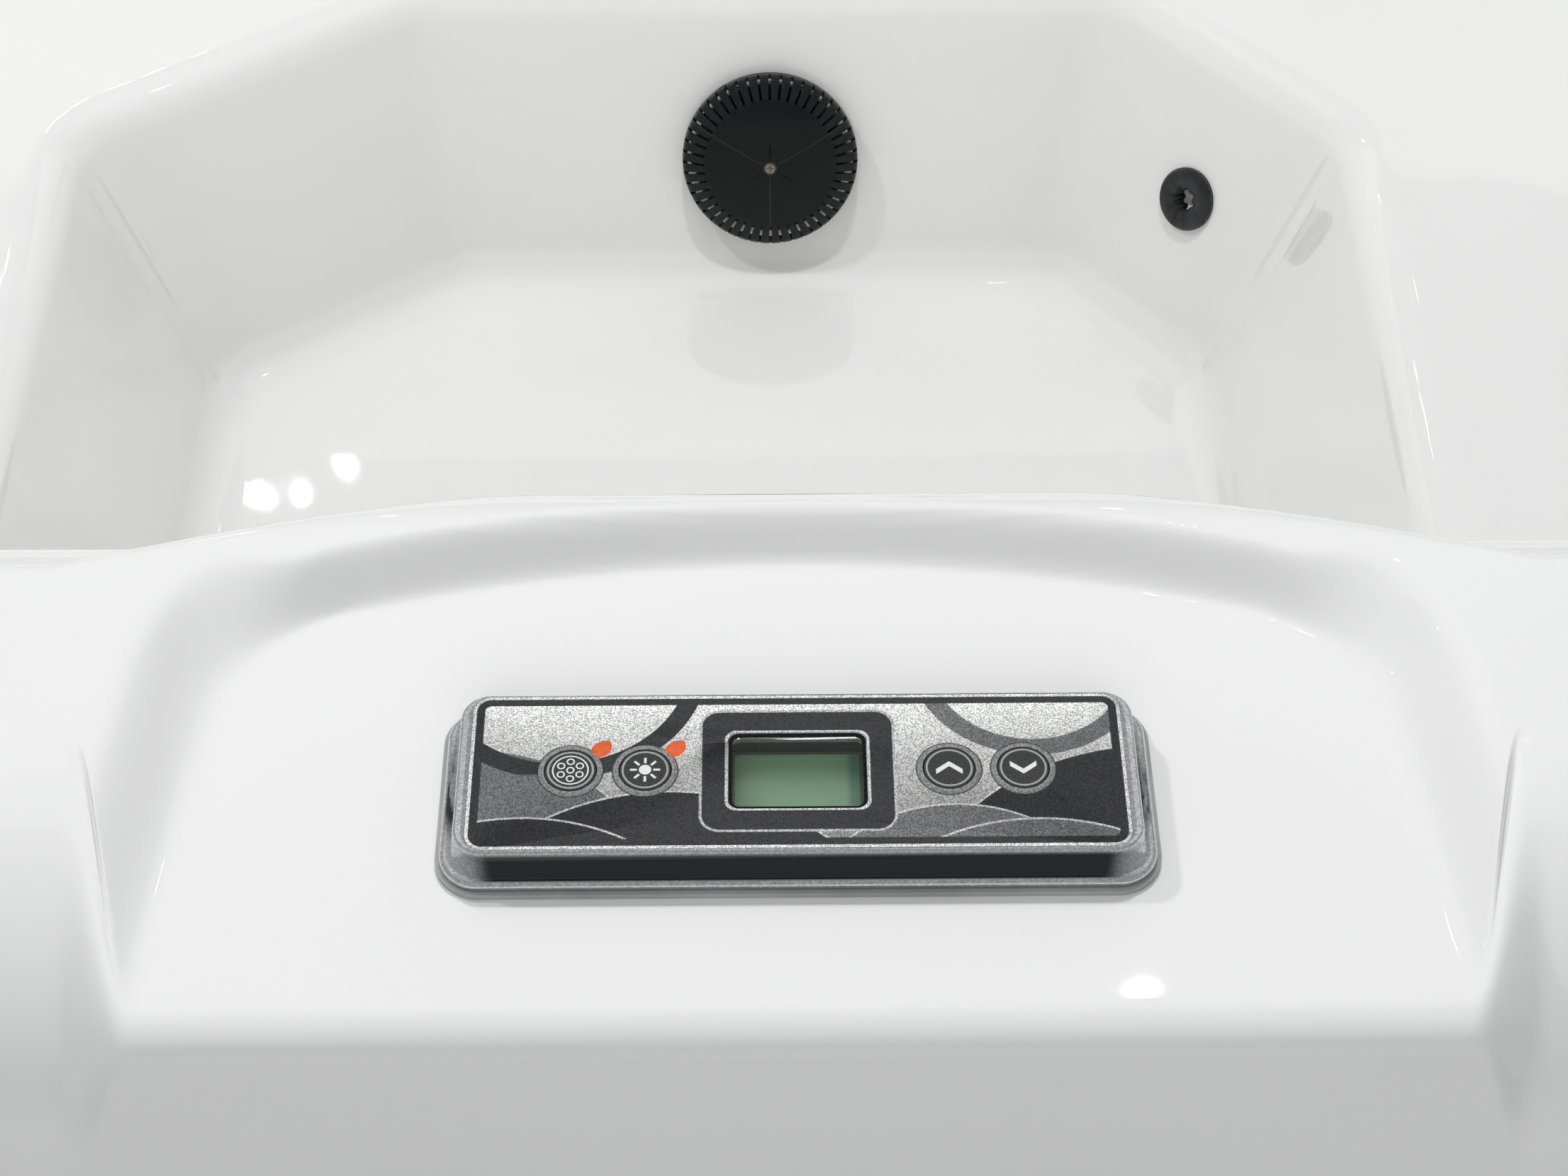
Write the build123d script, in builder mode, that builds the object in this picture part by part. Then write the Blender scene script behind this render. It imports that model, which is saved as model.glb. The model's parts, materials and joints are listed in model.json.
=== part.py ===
from build123d import *
import math
import os

# Whole tub, in millimetres: X runs along the control side, Y away from it, Z up from the ground
LENGTH = 2000.0
WIDTH = 1900.0
RIM_TOP = 882.0
CORNER_R = 150.0
SKIN = 7.0
CUTTER_REACH = 21.0
BAND_INSET = 14.0
OVERSHOOT = 12.0
RUNNING_GAP = 0.05
LOOSE_GAP = 0.3

# Lip and rim of the moulded shell
LIP_R = 70.0
LIP_BOTTOM = 806.0
RIM_WIDTH = 154.0
RIM_EDGE_R = 22.0
FORM_BOTTOM = 20.0

# Basin above the seats
BASIN_DRAFT = 9.5
BASIN_CUT = 150.0
BASIN_CORNER_R = 140.0
SEAT_Z = 250.0
SEAT_R = 50.0

# Footwell: its floor outline, clockwise seen from above
FLOOR_Z = 70.0
FOOTWELL_DRAFT = 22.0
FOOTWELL_CORNER_R = 45.0
FLOOR_R = 35.0
LEDGE_R = 30.0
FOOTWELL_POINTS = [
    (-204.0, 173.0),
    (188.0, 173.0),
    (272.0, 76.0),
    (272.0, -440.0),
    (190.0, -520.0),
    (-240.0, -520.0),
    (-352.0, -430.0),
    (-352.0, 73.0),
]

# Corner seats, turned bowls sunk in the seat and the backrest
BOWL_X = 580.0
BOWL_Y = 530.0
BOWL_DEPTH = 38.0
BOWL_FLAT_R = 60.0
BOWL_R = 215.0
BOWL_WAIST_Z = 340.0
BOWL_TOP_R = 150.0
BOWL_TOP_Z = 720.0

# Recess in the rim that holds the control panel
PLATFORM_Z = 870.0
RECESS_HALF_FRONT = 146.0
RECESS_HALF_BACK = 131.0
RECESS_SIDE_Y = -834.0
RECESS_BACK_Y = -811.5
RECESS_CORNER_R = 40.0
RECESS_BACKING = 16.0
SHELF_HALF = 150.0
SHELF_SETBACK = 1.0
SHELF_CORNER_R = 25.0
SHELF_EDGE_R = 8.0

# Cabinet
PAN_T = 8.0
PAN_LIP = 5.0
PAN_LIP_H = 25.0
SKIRT_INSET = 22.0
SKIRT_T = 20.0
SKIRT_TOP = 830.0
SKIRT_GAP = 0.5
SLAT_PITCH = 102.0
GROOVE_W = 7.0
GROOVE_DEPTH = 4.0
RAIL_OUT = 75.0
RAIL_IN = 115.0
RAIL_H = 35.0
RAIL_END = 240.0
POST_W = 38.0
NEAR_POST_X = 215.0
MID_POST_X = 400.0
MID_POST_Y = 230.0
SCREW_R = 2.5
SCREW_HEAD_R = 6.0
SCREW_HEAD_T = 3.5
SCREW_LENGTH = 45.0
SCREW_EDGE = 60.0
BEARER_W = 40.0
BEARER_XS = (-230.0, -90.0, 90.0, 210.0)
BEARER_Y0 = -420.0
BEARER_Y1 = 60.0
SEAT_LEG_W = 60.0
SEAT_LEGS = ((-560.0, 0.0), (560.0, 0.0), (-150.0, 480.0), (150.0, 480.0))

# Control panel: centre, flange, bezel and the parts inside it
PANEL_X = -0.4
PANEL_Y = -888.3
PANEL_W = 156.0
PANEL_D = 50.0
PANEL_R = 9.0
PANEL_H = 11.5
PANEL_GASKET_T = 1.5
PANEL_GASKET_EDGE = 1.0
FLANGE_T = 2.5
BEZEL_W = 151.0
BEZEL_D = 46.0
BEZEL_SLOPE = 2.2
OVERLAY_W = 143.5
OVERLAY_D = 42.3
OVERLAY_R = 4.0
OVERLAY_T = 0.8
PANEL_DECK_T = 1.7
SLEEVE_W = 134.0
SLEEVE_D = 30.0
SLEEVE_R = 5.0
SLEEVE_WALL = 2.0
SLEEVE_BOTTOM = 846.0
CUTOUT_GAP = 1.0
WINDOW_W = 30.3
WINDOW_D = 20.8
WINDOW_R = 2.5
WINDOW_T = 0.6
WINDOW_LEDGE = 0.8
WINDOW_GAP = 0.2
KEY_XS = (-49.6, -33.3, 33.1, 49.3)
KEY_R = 5.6
KEY_GAP = 0.25
KEY_STEM_R = 3.9
KEY_STEM_L = 4.9
KEY_CAP_T = 1.0
KEY_PROUD = 0.4
KEY_TRAVEL = 0.6
KEY_RING_R = 7.05
KEY_RING_H = 0.35
BOARD_T = 1.6
BOARD_Z = 860.0
BOARD_GAP = 0.5
PILLAR_R = 2.5
PILLAR_X = 61.0
PILLAR_Y = 9.5
LCD_W = 34.0
LCD_D = 24.0
LCD_H = 11.0
SWITCH_W = 6.0
SWITCH_H = 5.0
PLUNGER_R = 1.75
LAMP_DX = 6.3
LAMP_DY = 6.4
LAMP_R = 3.4
LAMP_W = 4.0
LAMP_GAP = 0.1
BACK_COVER_T = 3.0
GLAND_R = 7.0
GLAND_BORE_R = 3.0
GLAND_L = 15.0

# Suction fitting on the far wall of the footwell
SUCTION_SHARE = 0.513
SUCTION_Z = 148.0
COVER_R = 56.5
COVER_RISE = 24.0
COVER_SKIRT = 9.0
COVER_WALL = 3.0
COVER_EDGE_R = 7.0
COVER_SLOTS = 48
COVER_SLOT_W = 1.6
COVER_SEAMS = 3
COVER_SEAM_W = 0.8
SUCTION_FLANGE_R = 49.0
SUCTION_FLANGE_T = 4.0
SUCTION_GASKET_T = 2.0
SUCTION_BARREL_R = 30.0
SUCTION_BORE_R = 25.0
SUCTION_DEPTH = 60.0
SUCTION_BOSS_R = 8.0
SUCTION_ARM_W = 5.0
SUCTION_ARM_T = 8.0
COVER_SCREW_R = 2.5
COVER_SCREW_HEAD_R = 4.5
COVER_SCREW_HEAD_T = 2.5
NUT_T = 12.0
NUT_RIM = 11.0
HOLE_GAP = 0.5

# Water return on the far right wall of the footwell
RETURN_SHARE = 0.544
RETURN_Z = 160.0
RETURN_R = 20.0
RETURN_FLANGE_T = 4.0
RETURN_GASKET_T = 1.5
RETURN_BARREL_R = 12.0
RETURN_BORE_R = 7.0
RETURN_LOBE_R = 1.7
RETURN_LOBES = 8
RETURN_DEPTH = 60.0

# Underwater lamp on the near wall of the footwell
LIGHT_SHARE = 0.5
LIGHT_Z = 150.0
LIGHT_R = 40.0
LIGHT_FLANGE_T = 3.0
LIGHT_LENS_R = 35.0
LIGHT_LENS_RISE = 9.0
LIGHT_BARREL_R = 28.0
LIGHT_WALL = 3.0
LIGHT_DEPTH = 52.0

# Massage jets, two in each of three backrests
JET_Z = 520.0
JET_SPREAD = 120.0
JET_FLANGE_R = 29.0
JET_FLANGE_T = 3.0
JET_BARREL_R = 19.0
JET_BORE_R = 15.0
JET_FACE_R = 35.0
JET_FACE_T = 7.0
JET_STEM_L = 18.0
JET_NOZZLE_R = 6.0
JET_GRIPS = 5
JET_DISH_R = 24.5
JET_GRIP_AT = 39.2
JET_GRIP_R = 8.75
JET_CHAMBER_R = 23.0
JET_CHAMBER_TOP = 530.0

# Air controls on the near corners of the rim
AIR_FLANGE_R = 26.0
AIR_FLANGE_T = 3.0
AIR_BARREL_R = 17.0
AIR_BORE_R = 11.0
AIR_DEPTH = 62.0
AIR_KNOB_R = 24.0
AIR_KNOB_H = 16.0
AIR_STEM_L = 20.0
AIR_GRIPS = 6
AIR_GRIP_AT = 26.4
AIR_GRIP_R = 6.0

# Filter in the far left corner of the rim
FILTER_TUBE_R = 64.0
FILTER_WALL = 4.0
FILTER_FLANGE_R = 75.0
FILTER_FLANGE_T = 4.0
FILTER_BOTTOM = 620.0
FILTER_LID_R = 69.0
FILTER_LID_H = 13.0
FILTER_LID_SKIRT = 18.0
FILTER_GRIP_W = 12.0
FILTER_GRIP_H = 12.0
CARTRIDGE_R = 50.0
CARTRIDGE_CORE_R = 20.0
CARTRIDGE_H = 200.0
CARTRIDGE_CAP_T = 8.0
CARTRIDGE_PLEATS = 20
CARTRIDGE_PLEAT_DEPTH = 12.0

# Pump under the near right seat, its shaft along X
PUMP_Y = -755.0
PUMP_Z = 118.0
PUMP_PORT_X = 250.0
VOLUTE_X0 = 290.0
VOLUTE_X1 = 375.0
VOLUTE_R = 82.0
VOLUTE_WALL = 10.0
CHAMBER_R = 62.0
PORT_R = 25.0
PORT_BORE_R = 17.0
OUTLET_X = 332.0
OUTLET_Y = -790.0
OUTLET_TOP = 206.0
MOTOR_X1 = 610.0
MOTOR_R = 64.0
MOTOR_WALL = 6.0
MOTOR_FINS = 8
MOTOR_FIN_H = 6.0
MOTOR_FIN_T = 3.0
SHAFT_R = 7.0
IMPELLER_R = 54.0
IMPELLER_T = 5.0
VANE_H = 18.0
VANES = 5
VANE_T = 3.0
ROTOR_R = 44.0
ROTOR_X0 = 420.0
ROTOR_X1 = 560.0
PUMP_BASE_X0 = 420.0
PUMP_BASE_X1 = 580.0
PUMP_BASE_HALF = 58.0

# Control box and heater behind the control side
BOX_HALF = 240.0
BOX_DEPTH = 90.0
BOX_Z0 = 278.0
BOX_Z1 = 450.0
BOX_LID_T = 4.0
BOX_R = 10.0
HEATER_R = 28.0
HEATER_WALL = 3.0
HEATER_HALF = 200.0
HEATER_Z = 240.0
HEATER_COLLAR_R = 34.0
HEATER_COLLAR_T = 22.0
HEATER_FOOT_W = 30.0
HEATER_FOOT_X = 120.0

# Rigid pipes
PIPE_R = 20.0
PIPE_BORE_R = 17.0
PIPE_BEND_R = 35.0
UNDER_Z = 36.0
SUCTION_RUN = 75.0
SUCTION_BEND_R = 28.0
PUMP_RAMP_X0 = 130.0
PUMP_RAMP_X1 = 190.0
RETURN_RUN = 110.0
RETURN_LEFT_X = -290.0
RETURN_FAR_Y = 380.0
RING_CAP_T = 3.0
RING_INSET = 142.0
RING_Z = 430.0
RING_R = 16.0
RING_BORE_R = 13.0
RING_BEND_R = 70.0
RING_END_Y = -200.0
SADDLE_GAP = 0.1

# Heights and places that follow from the values above
SKIRT_X = LENGTH / 2 - SKIRT_INSET
SKIRT_Y = WIDTH / 2 - SKIRT_INSET
SKIRT_CORNER_R = CORNER_R - SKIRT_INSET
SKIRT_H = SKIRT_TOP - PAN_T
DECK_UNDER = RIM_TOP - SKIN
RAIL_Z = DECK_UNDER - RAIL_H
POST_IN_X = SKIRT_X - SKIRT_T
POST_IN_Y = SKIRT_Y - SKIRT_T
POST_DEPTH = RAIL_IN - SKIRT_INSET - SKIRT_T
RAIL_HALF_X = LENGTH / 2 - RAIL_END
RAIL_HALF_Y = WIDTH / 2 - RAIL_END
PANEL_TOP = PLATFORM_Z + PANEL_H
FLANGE_Z = PLATFORM_Z + PANEL_GASKET_T
OVERLAY_Z = PANEL_TOP - OVERLAY_T
BOARD_TOP = BOARD_Z + BOARD_T
KEY_TOP = PANEL_TOP + KEY_PROUD
KEY_CAP_Z = KEY_TOP - KEY_CAP_T
KEY_WELL_Z = KEY_CAP_Z - KEY_TRAVEL - LOOSE_GAP
KEY_STEM_Z = KEY_CAP_Z - KEY_STEM_L
DIAGONAL = math.sqrt(2.0)
RING_X = LENGTH / 2 - RING_INSET
RING_Y = WIDTH / 2 - RING_INSET


def keep(builder, name):
    """Name a finished piece and write it to its own file."""
    builder.part.label = name
    export_step(builder.part, f"parts/{name}.step")


def basin_half(z):
    """Half length and half width of the basin at height z."""
    draw = (RIM_TOP - z) * math.tan(math.radians(BASIN_DRAFT))
    return LENGTH / 2 - RIM_WIDTH - draw, WIDTH / 2 - RIM_WIDTH - draw


def deck_corner():
    """Centre of the flat deck in a corner of the rim, between lip and basin."""
    outer = (LENGTH + WIDTH) / 2 - CORNER_R * (2 - DIAGONAL) - LIP_R * DIAGONAL
    half_x, half_y = basin_half(RIM_TOP)
    inner = half_x + half_y - BASIN_CUT + RIM_EDGE_R * DIAGONAL
    middle = (outer + inner) / 2
    lead = (LENGTH - WIDTH) / 2
    return (middle + lead) / 2, (middle - lead) / 2


def wall_plane(origin, outward, draft):
    """Plane on a drafted wall, looking into the tub, with its y axis up the wall."""
    lean = math.radians(draft)
    inward = (-outward[0] * math.cos(lean), -outward[1] * math.cos(lean), math.sin(lean))
    return Plane(origin=origin, x_dir=(outward[1], -outward[0], 0), z_dir=inward)


def footwell_plane(index, share, z):
    """Plane on the footwell wall over one edge of the floor outline."""
    start = Vector(*FOOTWELL_POINTS[index])
    end = Vector(*FOOTWELL_POINTS[(index + 1) % len(FOOTWELL_POINTS)])
    along = (end - start).normalized()
    outward = (-along.Y, along.X)
    out = (z - FLOOR_Z) * math.tan(math.radians(FOOTWELL_DRAFT))
    point = start + (end - start) * share
    origin = (point.X + out * outward[0], point.Y + out * outward[1], z)
    return wall_plane(origin, outward, FOOTWELL_DRAFT)


def jet_planes():
    """Planes of the six jets: right, far and left backrests, two each."""
    half_x, half_y = basin_half(JET_Z)
    planes = []
    for side in (-1, 1):
        planes.append(wall_plane((half_x, side * JET_SPREAD, JET_Z), (1, 0), BASIN_DRAFT))
        planes.append(wall_plane((side * JET_SPREAD, half_y, JET_Z), (0, 1), BASIN_DRAFT))
        planes.append(wall_plane((-half_x, side * JET_SPREAD, JET_Z), (-1, 0), BASIN_DRAFT))
    return planes


def section_of(plane):
    """Plane through a fitting's axis: x is the radius, y the height off its seat."""
    return Plane(origin=plane.origin, x_dir=plane.x_dir, z_dir=-plane.y_dir)


def turned(plane, points):
    """Piece turned about a plane's normal from half of its section."""
    with BuildPart() as blank:
        with BuildSketch(section_of(plane)):
            with BuildLine():
                Polyline(*points, close=True)
            make_face()
        revolve(axis=Axis(plane.origin, plane.z_dir))
    return blank.part


def sleeve_points(outer, inner, low, high):
    """Half section of a plain ring or tube."""
    return [(inner, low), (outer, low), (outer, high), (inner, high)]


def hex_nut(plane, hole_r, top):
    """Six-sided nut with its upper face at height top off the plane."""
    with BuildPart() as nut:
        with BuildSketch(plane.offset(top - NUT_T)):
            RegularPolygon(radius=hole_r + NUT_RIM, side_count=6, major_radius=False)
            Circle(hole_r + LOOSE_GAP, mode=Mode.SUBTRACT)
        extrude(amount=NUT_T)
    return nut.part


def pipe_run(points, outer, bore, bend):
    """Rigid pipe along straight runs with one bend radius."""
    with BuildPart() as pipe:
        with BuildLine() as route:
            FilletPolyline(*points, radius=bend)
        with BuildSketch(Plane(origin=route.line @ 0, z_dir=route.line % 0)):
            Circle(outer)
            Circle(bore, mode=Mode.SUBTRACT)
        sweep(path=route.line)
    return pipe.part


def basin_outline(z, skin):
    """Outline of the basin at height z, grown by the skin for its hidden side."""
    grow = skin / math.cos(math.radians(BASIN_DRAFT))
    half_x, half_y = basin_half(z)
    with BuildSketch(Plane.XY.offset(z)) as outline:
        Rectangle(2 * (half_x + grow), 2 * (half_y + grow))
        chamfer(outline.vertices(), BASIN_CUT + grow * (2 - DIAGONAL))
        fillet(outline.vertices(), BASIN_CORNER_R + skin)
    return outline.sketch


def footwell_outline(z, skin):
    """Outline of the footwell at height z, grown by the skin for its hidden side."""
    lean = math.radians(FOOTWELL_DRAFT)
    grow = (z - FLOOR_Z) * math.tan(lean) + skin / math.cos(lean)
    with BuildSketch(Plane.XY.offset(z)) as outline:
        with BuildLine():
            Polyline(*FOOTWELL_POINTS, close=True)
        make_face()
        if grow > RUNNING_GAP:
            offset(amount=grow, kind=Kind.INTERSECTION)
        fillet(outline.vertices(), FOOTWELL_CORNER_R + skin)
    return outline.sketch


def recess_outline(z, grow):
    """Arched outline of the control recess, open past the front of the lip."""
    front_y = -WIDTH / 2 - OVERSHOOT
    back = (-RECESS_HALF_BACK, RECESS_SIDE_Y)
    with BuildSketch(Plane.XY.offset(z)) as outline:
        with BuildLine():
            Line((-RECESS_HALF_FRONT, front_y), back)
            ThreePointArc(back, (0, RECESS_BACK_Y), (RECESS_HALF_BACK, RECESS_SIDE_Y))
            Line((RECESS_HALF_BACK, RECESS_SIDE_Y), (RECESS_HALF_FRONT, front_y))
            Line((RECESS_HALF_FRONT, front_y), (-RECESS_HALF_FRONT, front_y))
        make_face()
        fillet(outline.vertices().group_by(Axis.Y)[-1], RECESS_CORNER_R)
        if grow > RUNNING_GAP:
            offset(amount=grow, kind=Kind.INTERSECTION)
    return outline.sketch


def is_front_edge(edge):
    """True for an edge on the front half of the panel shelf."""
    return edge.center().Y < -WIDTH / 2 + SHELF_CORNER_R


def panel_shelf(skin):
    """Flat-fronted block that carries the control platform out to the lip's face."""
    with BuildPart() as shelf:
        with BuildSketch(Plane.XY.offset(LIP_BOTTOM)) as outline:
            with Locations((0, -WIDTH / 2 + SHELF_SETBACK + skin)):
                Rectangle(2 * (SHELF_HALF - skin), LIP_R + RIM_EDGE_R, align=(Align.CENTER, Align.MIN))
            fillet(outline.vertices().group_by(Axis.Y)[0], SHELF_CORNER_R - skin)
        extrude(amount=PLATFORM_Z - skin - LIP_BOTTOM)
        fillet(level(shelf, -1).edges().filter_by(is_front_edge), max(SHELF_EDGE_R - skin, RUNNING_GAP))
    return shelf.part


def level(part, index):
    """One of a part's flat faces, counted upwards from its lowest."""
    return part.faces().filter_by(Axis.Z).sort_by(Axis.Z)[index]


def seat_bowl(centre_x, centre_y, skin):
    """Bowl of one corner seat, turned about an upright axis."""
    bottom = SEAT_Z - BOWL_DEPTH - skin
    with BuildPart() as bowl:
        with BuildSketch(section_of(Plane(origin=(centre_x, centre_y, 0)))):
            with BuildLine():
                seat = Line((0, bottom), (BOWL_FLAT_R, bottom))
                turn = TangentArc(seat @ 1, (BOWL_R + skin, BOWL_WAIST_Z), tangent=(1, 0))
                back = TangentArc(turn @ 1, (BOWL_TOP_R + skin, BOWL_TOP_Z), tangent=turn % 1)
                Polyline(back @ 1, (0, BOWL_TOP_Z), (0, bottom))
            make_face()
        revolve(axis=Axis((centre_x, centre_y, 0), (0, 0, 1)))
    return bowl.part


def tub_form(skin):
    """Solid under the bathing surface, drawn in by the skin on every side."""
    basin = [basin_outline(z, skin) for z in (SEAT_Z - skin, RIM_TOP + OVERSHOOT)]
    footwell = [footwell_outline(z, skin) for z in (FLOOR_Z - skin, SEAT_Z + OVERSHOOT)]
    backing = RECESS_BACKING if skin else 0.0
    recess_z = (PLATFORM_Z - skin, RIM_TOP + OVERSHOOT)
    recess = [recess_outline(z, backing + z - recess_z[0]) for z in recess_z]
    shelf = panel_shelf(skin)
    bowls = [seat_bowl(x, y, skin) for x in (-BOWL_X, BOWL_X) for y in (-BOWL_Y, BOWL_Y)]
    with BuildPart() as form:
        with BuildSketch(Plane.XY.offset(FORM_BOTTOM - skin)):
            RectangleRounded(LENGTH - 2 * skin, WIDTH - 2 * skin, CORNER_R - skin)
        extrude(amount=RIM_TOP - FORM_BOTTOM)
        fillet(level(form, -1).edges(), LIP_R - skin)
        loft(sections=basin, ruled=True, mode=Mode.SUBTRACT)
        loft(sections=footwell, ruled=True, mode=Mode.SUBTRACT)
        fillet(level(form, 1).outer_wire().edges(), FLOOR_R + skin)
        fillet(level(form, 2).inner_wires()[0].edges(), LEDGE_R - skin)
        fillet(level(form, 2).outer_wire().edges(), SEAT_R + skin)
        fillet(level(form, 3).inner_wires()[0].edges(), RIM_EDGE_R - skin)
        for bowl in bowls:
            add(bowl, mode=Mode.SUBTRACT)
        add(shelf)
        loft(sections=recess, ruled=True, mode=Mode.SUBTRACT)
    return form.part


def drill(plane, radius):
    """Cutter for a round hole through the skin of the shell."""
    with BuildPart() as cutter:
        with BuildSketch(plane.offset(-CUTTER_REACH)):
            Circle(radius)
        extrude(amount=2 * CUTTER_REACH)
    return cutter.part


def deck_plane(side_x, side_y):
    """Plane on the flat deck in one corner of the rim."""
    corner_x, corner_y = deck_corner()
    return Plane(origin=(side_x * corner_x, side_y * corner_y, RIM_TOP))


SUCTION = footwell_plane(0, SUCTION_SHARE, SUCTION_Z)
RETURN = footwell_plane(1, RETURN_SHARE, RETURN_Z)
LIGHT = footwell_plane(4, LIGHT_SHARE, LIGHT_Z)
FILTER = deck_plane(-1, 1)
AIR_PLANES = [deck_plane(-1, -1), deck_plane(1, -1)]
PANEL_PLANE = Plane(origin=(PANEL_X, PANEL_Y, 0))


def make_shell():
    """Moulded tub: rim, control recess, backrests, seats and footwell in one skin."""
    visible = tub_form(0.0)
    hidden = tub_form(SKIN)
    cutters = [drill(plane, JET_BARREL_R + HOLE_GAP) for plane in jet_planes()]
    cutters += [drill(plane, AIR_BARREL_R + HOLE_GAP) for plane in AIR_PLANES]
    cutters.append(drill(SUCTION, SUCTION_BARREL_R + HOLE_GAP))
    cutters.append(drill(RETURN, RETURN_BARREL_R + HOLE_GAP))
    cutters.append(drill(LIGHT, LIGHT_BARREL_R + HOLE_GAP))
    cutters.append(drill(FILTER, FILTER_TUBE_R + HOLE_GAP))
    with BuildPart() as shell:
        add(visible)
        add(hidden, mode=Mode.SUBTRACT)
        with BuildSketch(Plane.XY.offset(FORM_BOTTOM - SKIN)):
            Rectangle(LENGTH + OVERSHOOT, WIDTH + OVERSHOOT)
            inside = (LENGTH - 2 * BAND_INSET, WIDTH - 2 * BAND_INSET, CORNER_R - BAND_INSET)
            RectangleRounded(*inside, mode=Mode.SUBTRACT)
        extrude(amount=LIP_BOTTOM - FORM_BOTTOM + SKIN, mode=Mode.SUBTRACT)
        for cutter in cutters:
            add(cutter, mode=Mode.SUBTRACT)
        with BuildSketch(PANEL_PLANE.offset(PLATFORM_Z - CUTTER_REACH)):
            RectangleRounded(SLEEVE_W + 2 * CUTOUT_GAP, SLEEVE_D + 2 * CUTOUT_GAP, SLEEVE_R + CUTOUT_GAP)
        extrude(amount=2 * CUTTER_REACH, mode=Mode.SUBTRACT)
    keep(shell, "shell")


def make_base_pan():
    """Tray that the whole cabinet stands in."""
    edge = PAN_LIP + SKIRT_GAP
    with BuildPart() as pan:
        with BuildSketch():
            RectangleRounded(2 * (SKIRT_X + edge), 2 * (SKIRT_Y + edge), SKIRT_CORNER_R + edge)
        extrude(amount=PAN_LIP_H)
        with BuildSketch(Plane.XY.offset(PAN_T)):
            RectangleRounded(
                2 * (SKIRT_X + SKIRT_GAP), 2 * (SKIRT_Y + SKIRT_GAP), SKIRT_CORNER_R + SKIRT_GAP
            )
        extrude(amount=PAN_LIP_H, mode=Mode.SUBTRACT)
    keep(pan, "base_pan")


def make_bearers():
    """Timbers that lie under the footwell floor."""
    with BuildPart() as bearers:
        with BuildSketch(Plane.XY.offset(PAN_T)):
            with Locations([(x, (BEARER_Y0 + BEARER_Y1) / 2) for x in BEARER_XS]):
                Rectangle(BEARER_W, BEARER_Y1 - BEARER_Y0)
        extrude(amount=FLOOR_Z - SKIN - PAN_T)
    keep(bearers, "footwell_bearers")


def make_seat_legs():
    """Square legs that carry the seat ledges."""
    with BuildPart() as legs:
        with BuildSketch(Plane.XY.offset(PAN_T)):
            with Locations(SEAT_LEGS):
                Rectangle(SEAT_LEG_W, SEAT_LEG_W)
        extrude(amount=SEAT_Z - SKIN - PAN_T)
    keep(legs, "seat_legs")


def post_places():
    """Post centres on the near and far sides, then on the left and right sides."""
    end_x = RAIL_HALF_X - POST_W / 2
    end_y = RAIL_HALF_Y - POST_W / 2
    out_y = POST_IN_Y - POST_DEPTH / 2
    out_x = POST_IN_X - POST_DEPTH / 2
    lines = [(x, -out_y) for x in (-end_x, -MID_POST_X, -NEAR_POST_X, NEAR_POST_X, MID_POST_X, end_x)]
    lines += [(x, out_y) for x in (-end_x, -MID_POST_X, MID_POST_X, end_x)]
    sides = [(side * out_x, y) for side in (-1, 1) for y in (-end_y, -MID_POST_Y, MID_POST_Y, end_y)]
    return lines, sides


def screw_planes():
    """Planes on the outer faces of the skirt, one for each panel screw."""
    end_x = RAIL_HALF_X - POST_W / 2
    end_y = RAIL_HALF_Y - POST_W / 2
    planes = []
    for z in (PAN_T + SCREW_EDGE, SKIRT_TOP - SCREW_EDGE):
        for side in (-1, 1):
            planes += [Plane((x, side * SKIRT_Y, z), z_dir=(0, side, 0)) for x in (-end_x, end_x)]
            planes += [Plane((side * SKIRT_X, y, z), z_dir=(side, 0, 0)) for y in (-end_y, end_y)]
    return planes


def screw_bores():
    """Cutter for the pilot holes that the panel screws run in."""
    with BuildPart() as bores:
        for plane in screw_planes():
            with BuildSketch(plane.offset(SCREW_HEAD_T)):
                Circle(SCREW_R + RUNNING_GAP)
            extrude(amount=-SCREW_HEAD_T - SCREW_LENGTH - LOOSE_GAP)
    return bores.part


def make_frame():
    """Posts behind the skirt and the rails under the deck."""
    lines, sides = post_places()
    bores = screw_bores()
    with BuildPart() as posts:
        with BuildSketch(Plane.XY.offset(PAN_T)):
            with Locations(lines):
                Rectangle(POST_W, POST_DEPTH)
            with Locations(sides):
                Rectangle(POST_DEPTH, POST_W)
        extrude(amount=RAIL_Z - PAN_T)
        add(bores, mode=Mode.SUBTRACT)
    keep(posts, "frame_posts")
    rail_w = RAIL_IN - RAIL_OUT
    middle_x = LENGTH / 2 - (RAIL_IN + RAIL_OUT) / 2
    middle_y = WIDTH / 2 - (RAIL_IN + RAIL_OUT) / 2
    near_end = NEAR_POST_X - POST_W / 2
    with BuildPart() as rails:
        with BuildSketch(Plane.XY.offset(RAIL_Z)):
            with Locations((-middle_x, 0), (middle_x, 0)):
                Rectangle(rail_w, 2 * RAIL_HALF_Y)
            with Locations((0, -middle_y), (0, middle_y)):
                Rectangle(2 * RAIL_HALF_X, rail_w)
            with Locations((0, -middle_y)):
                Rectangle(2 * near_end, 2 * rail_w, mode=Mode.SUBTRACT)
        extrude(amount=RAIL_H)
    keep(rails, "top_rails")


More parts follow.
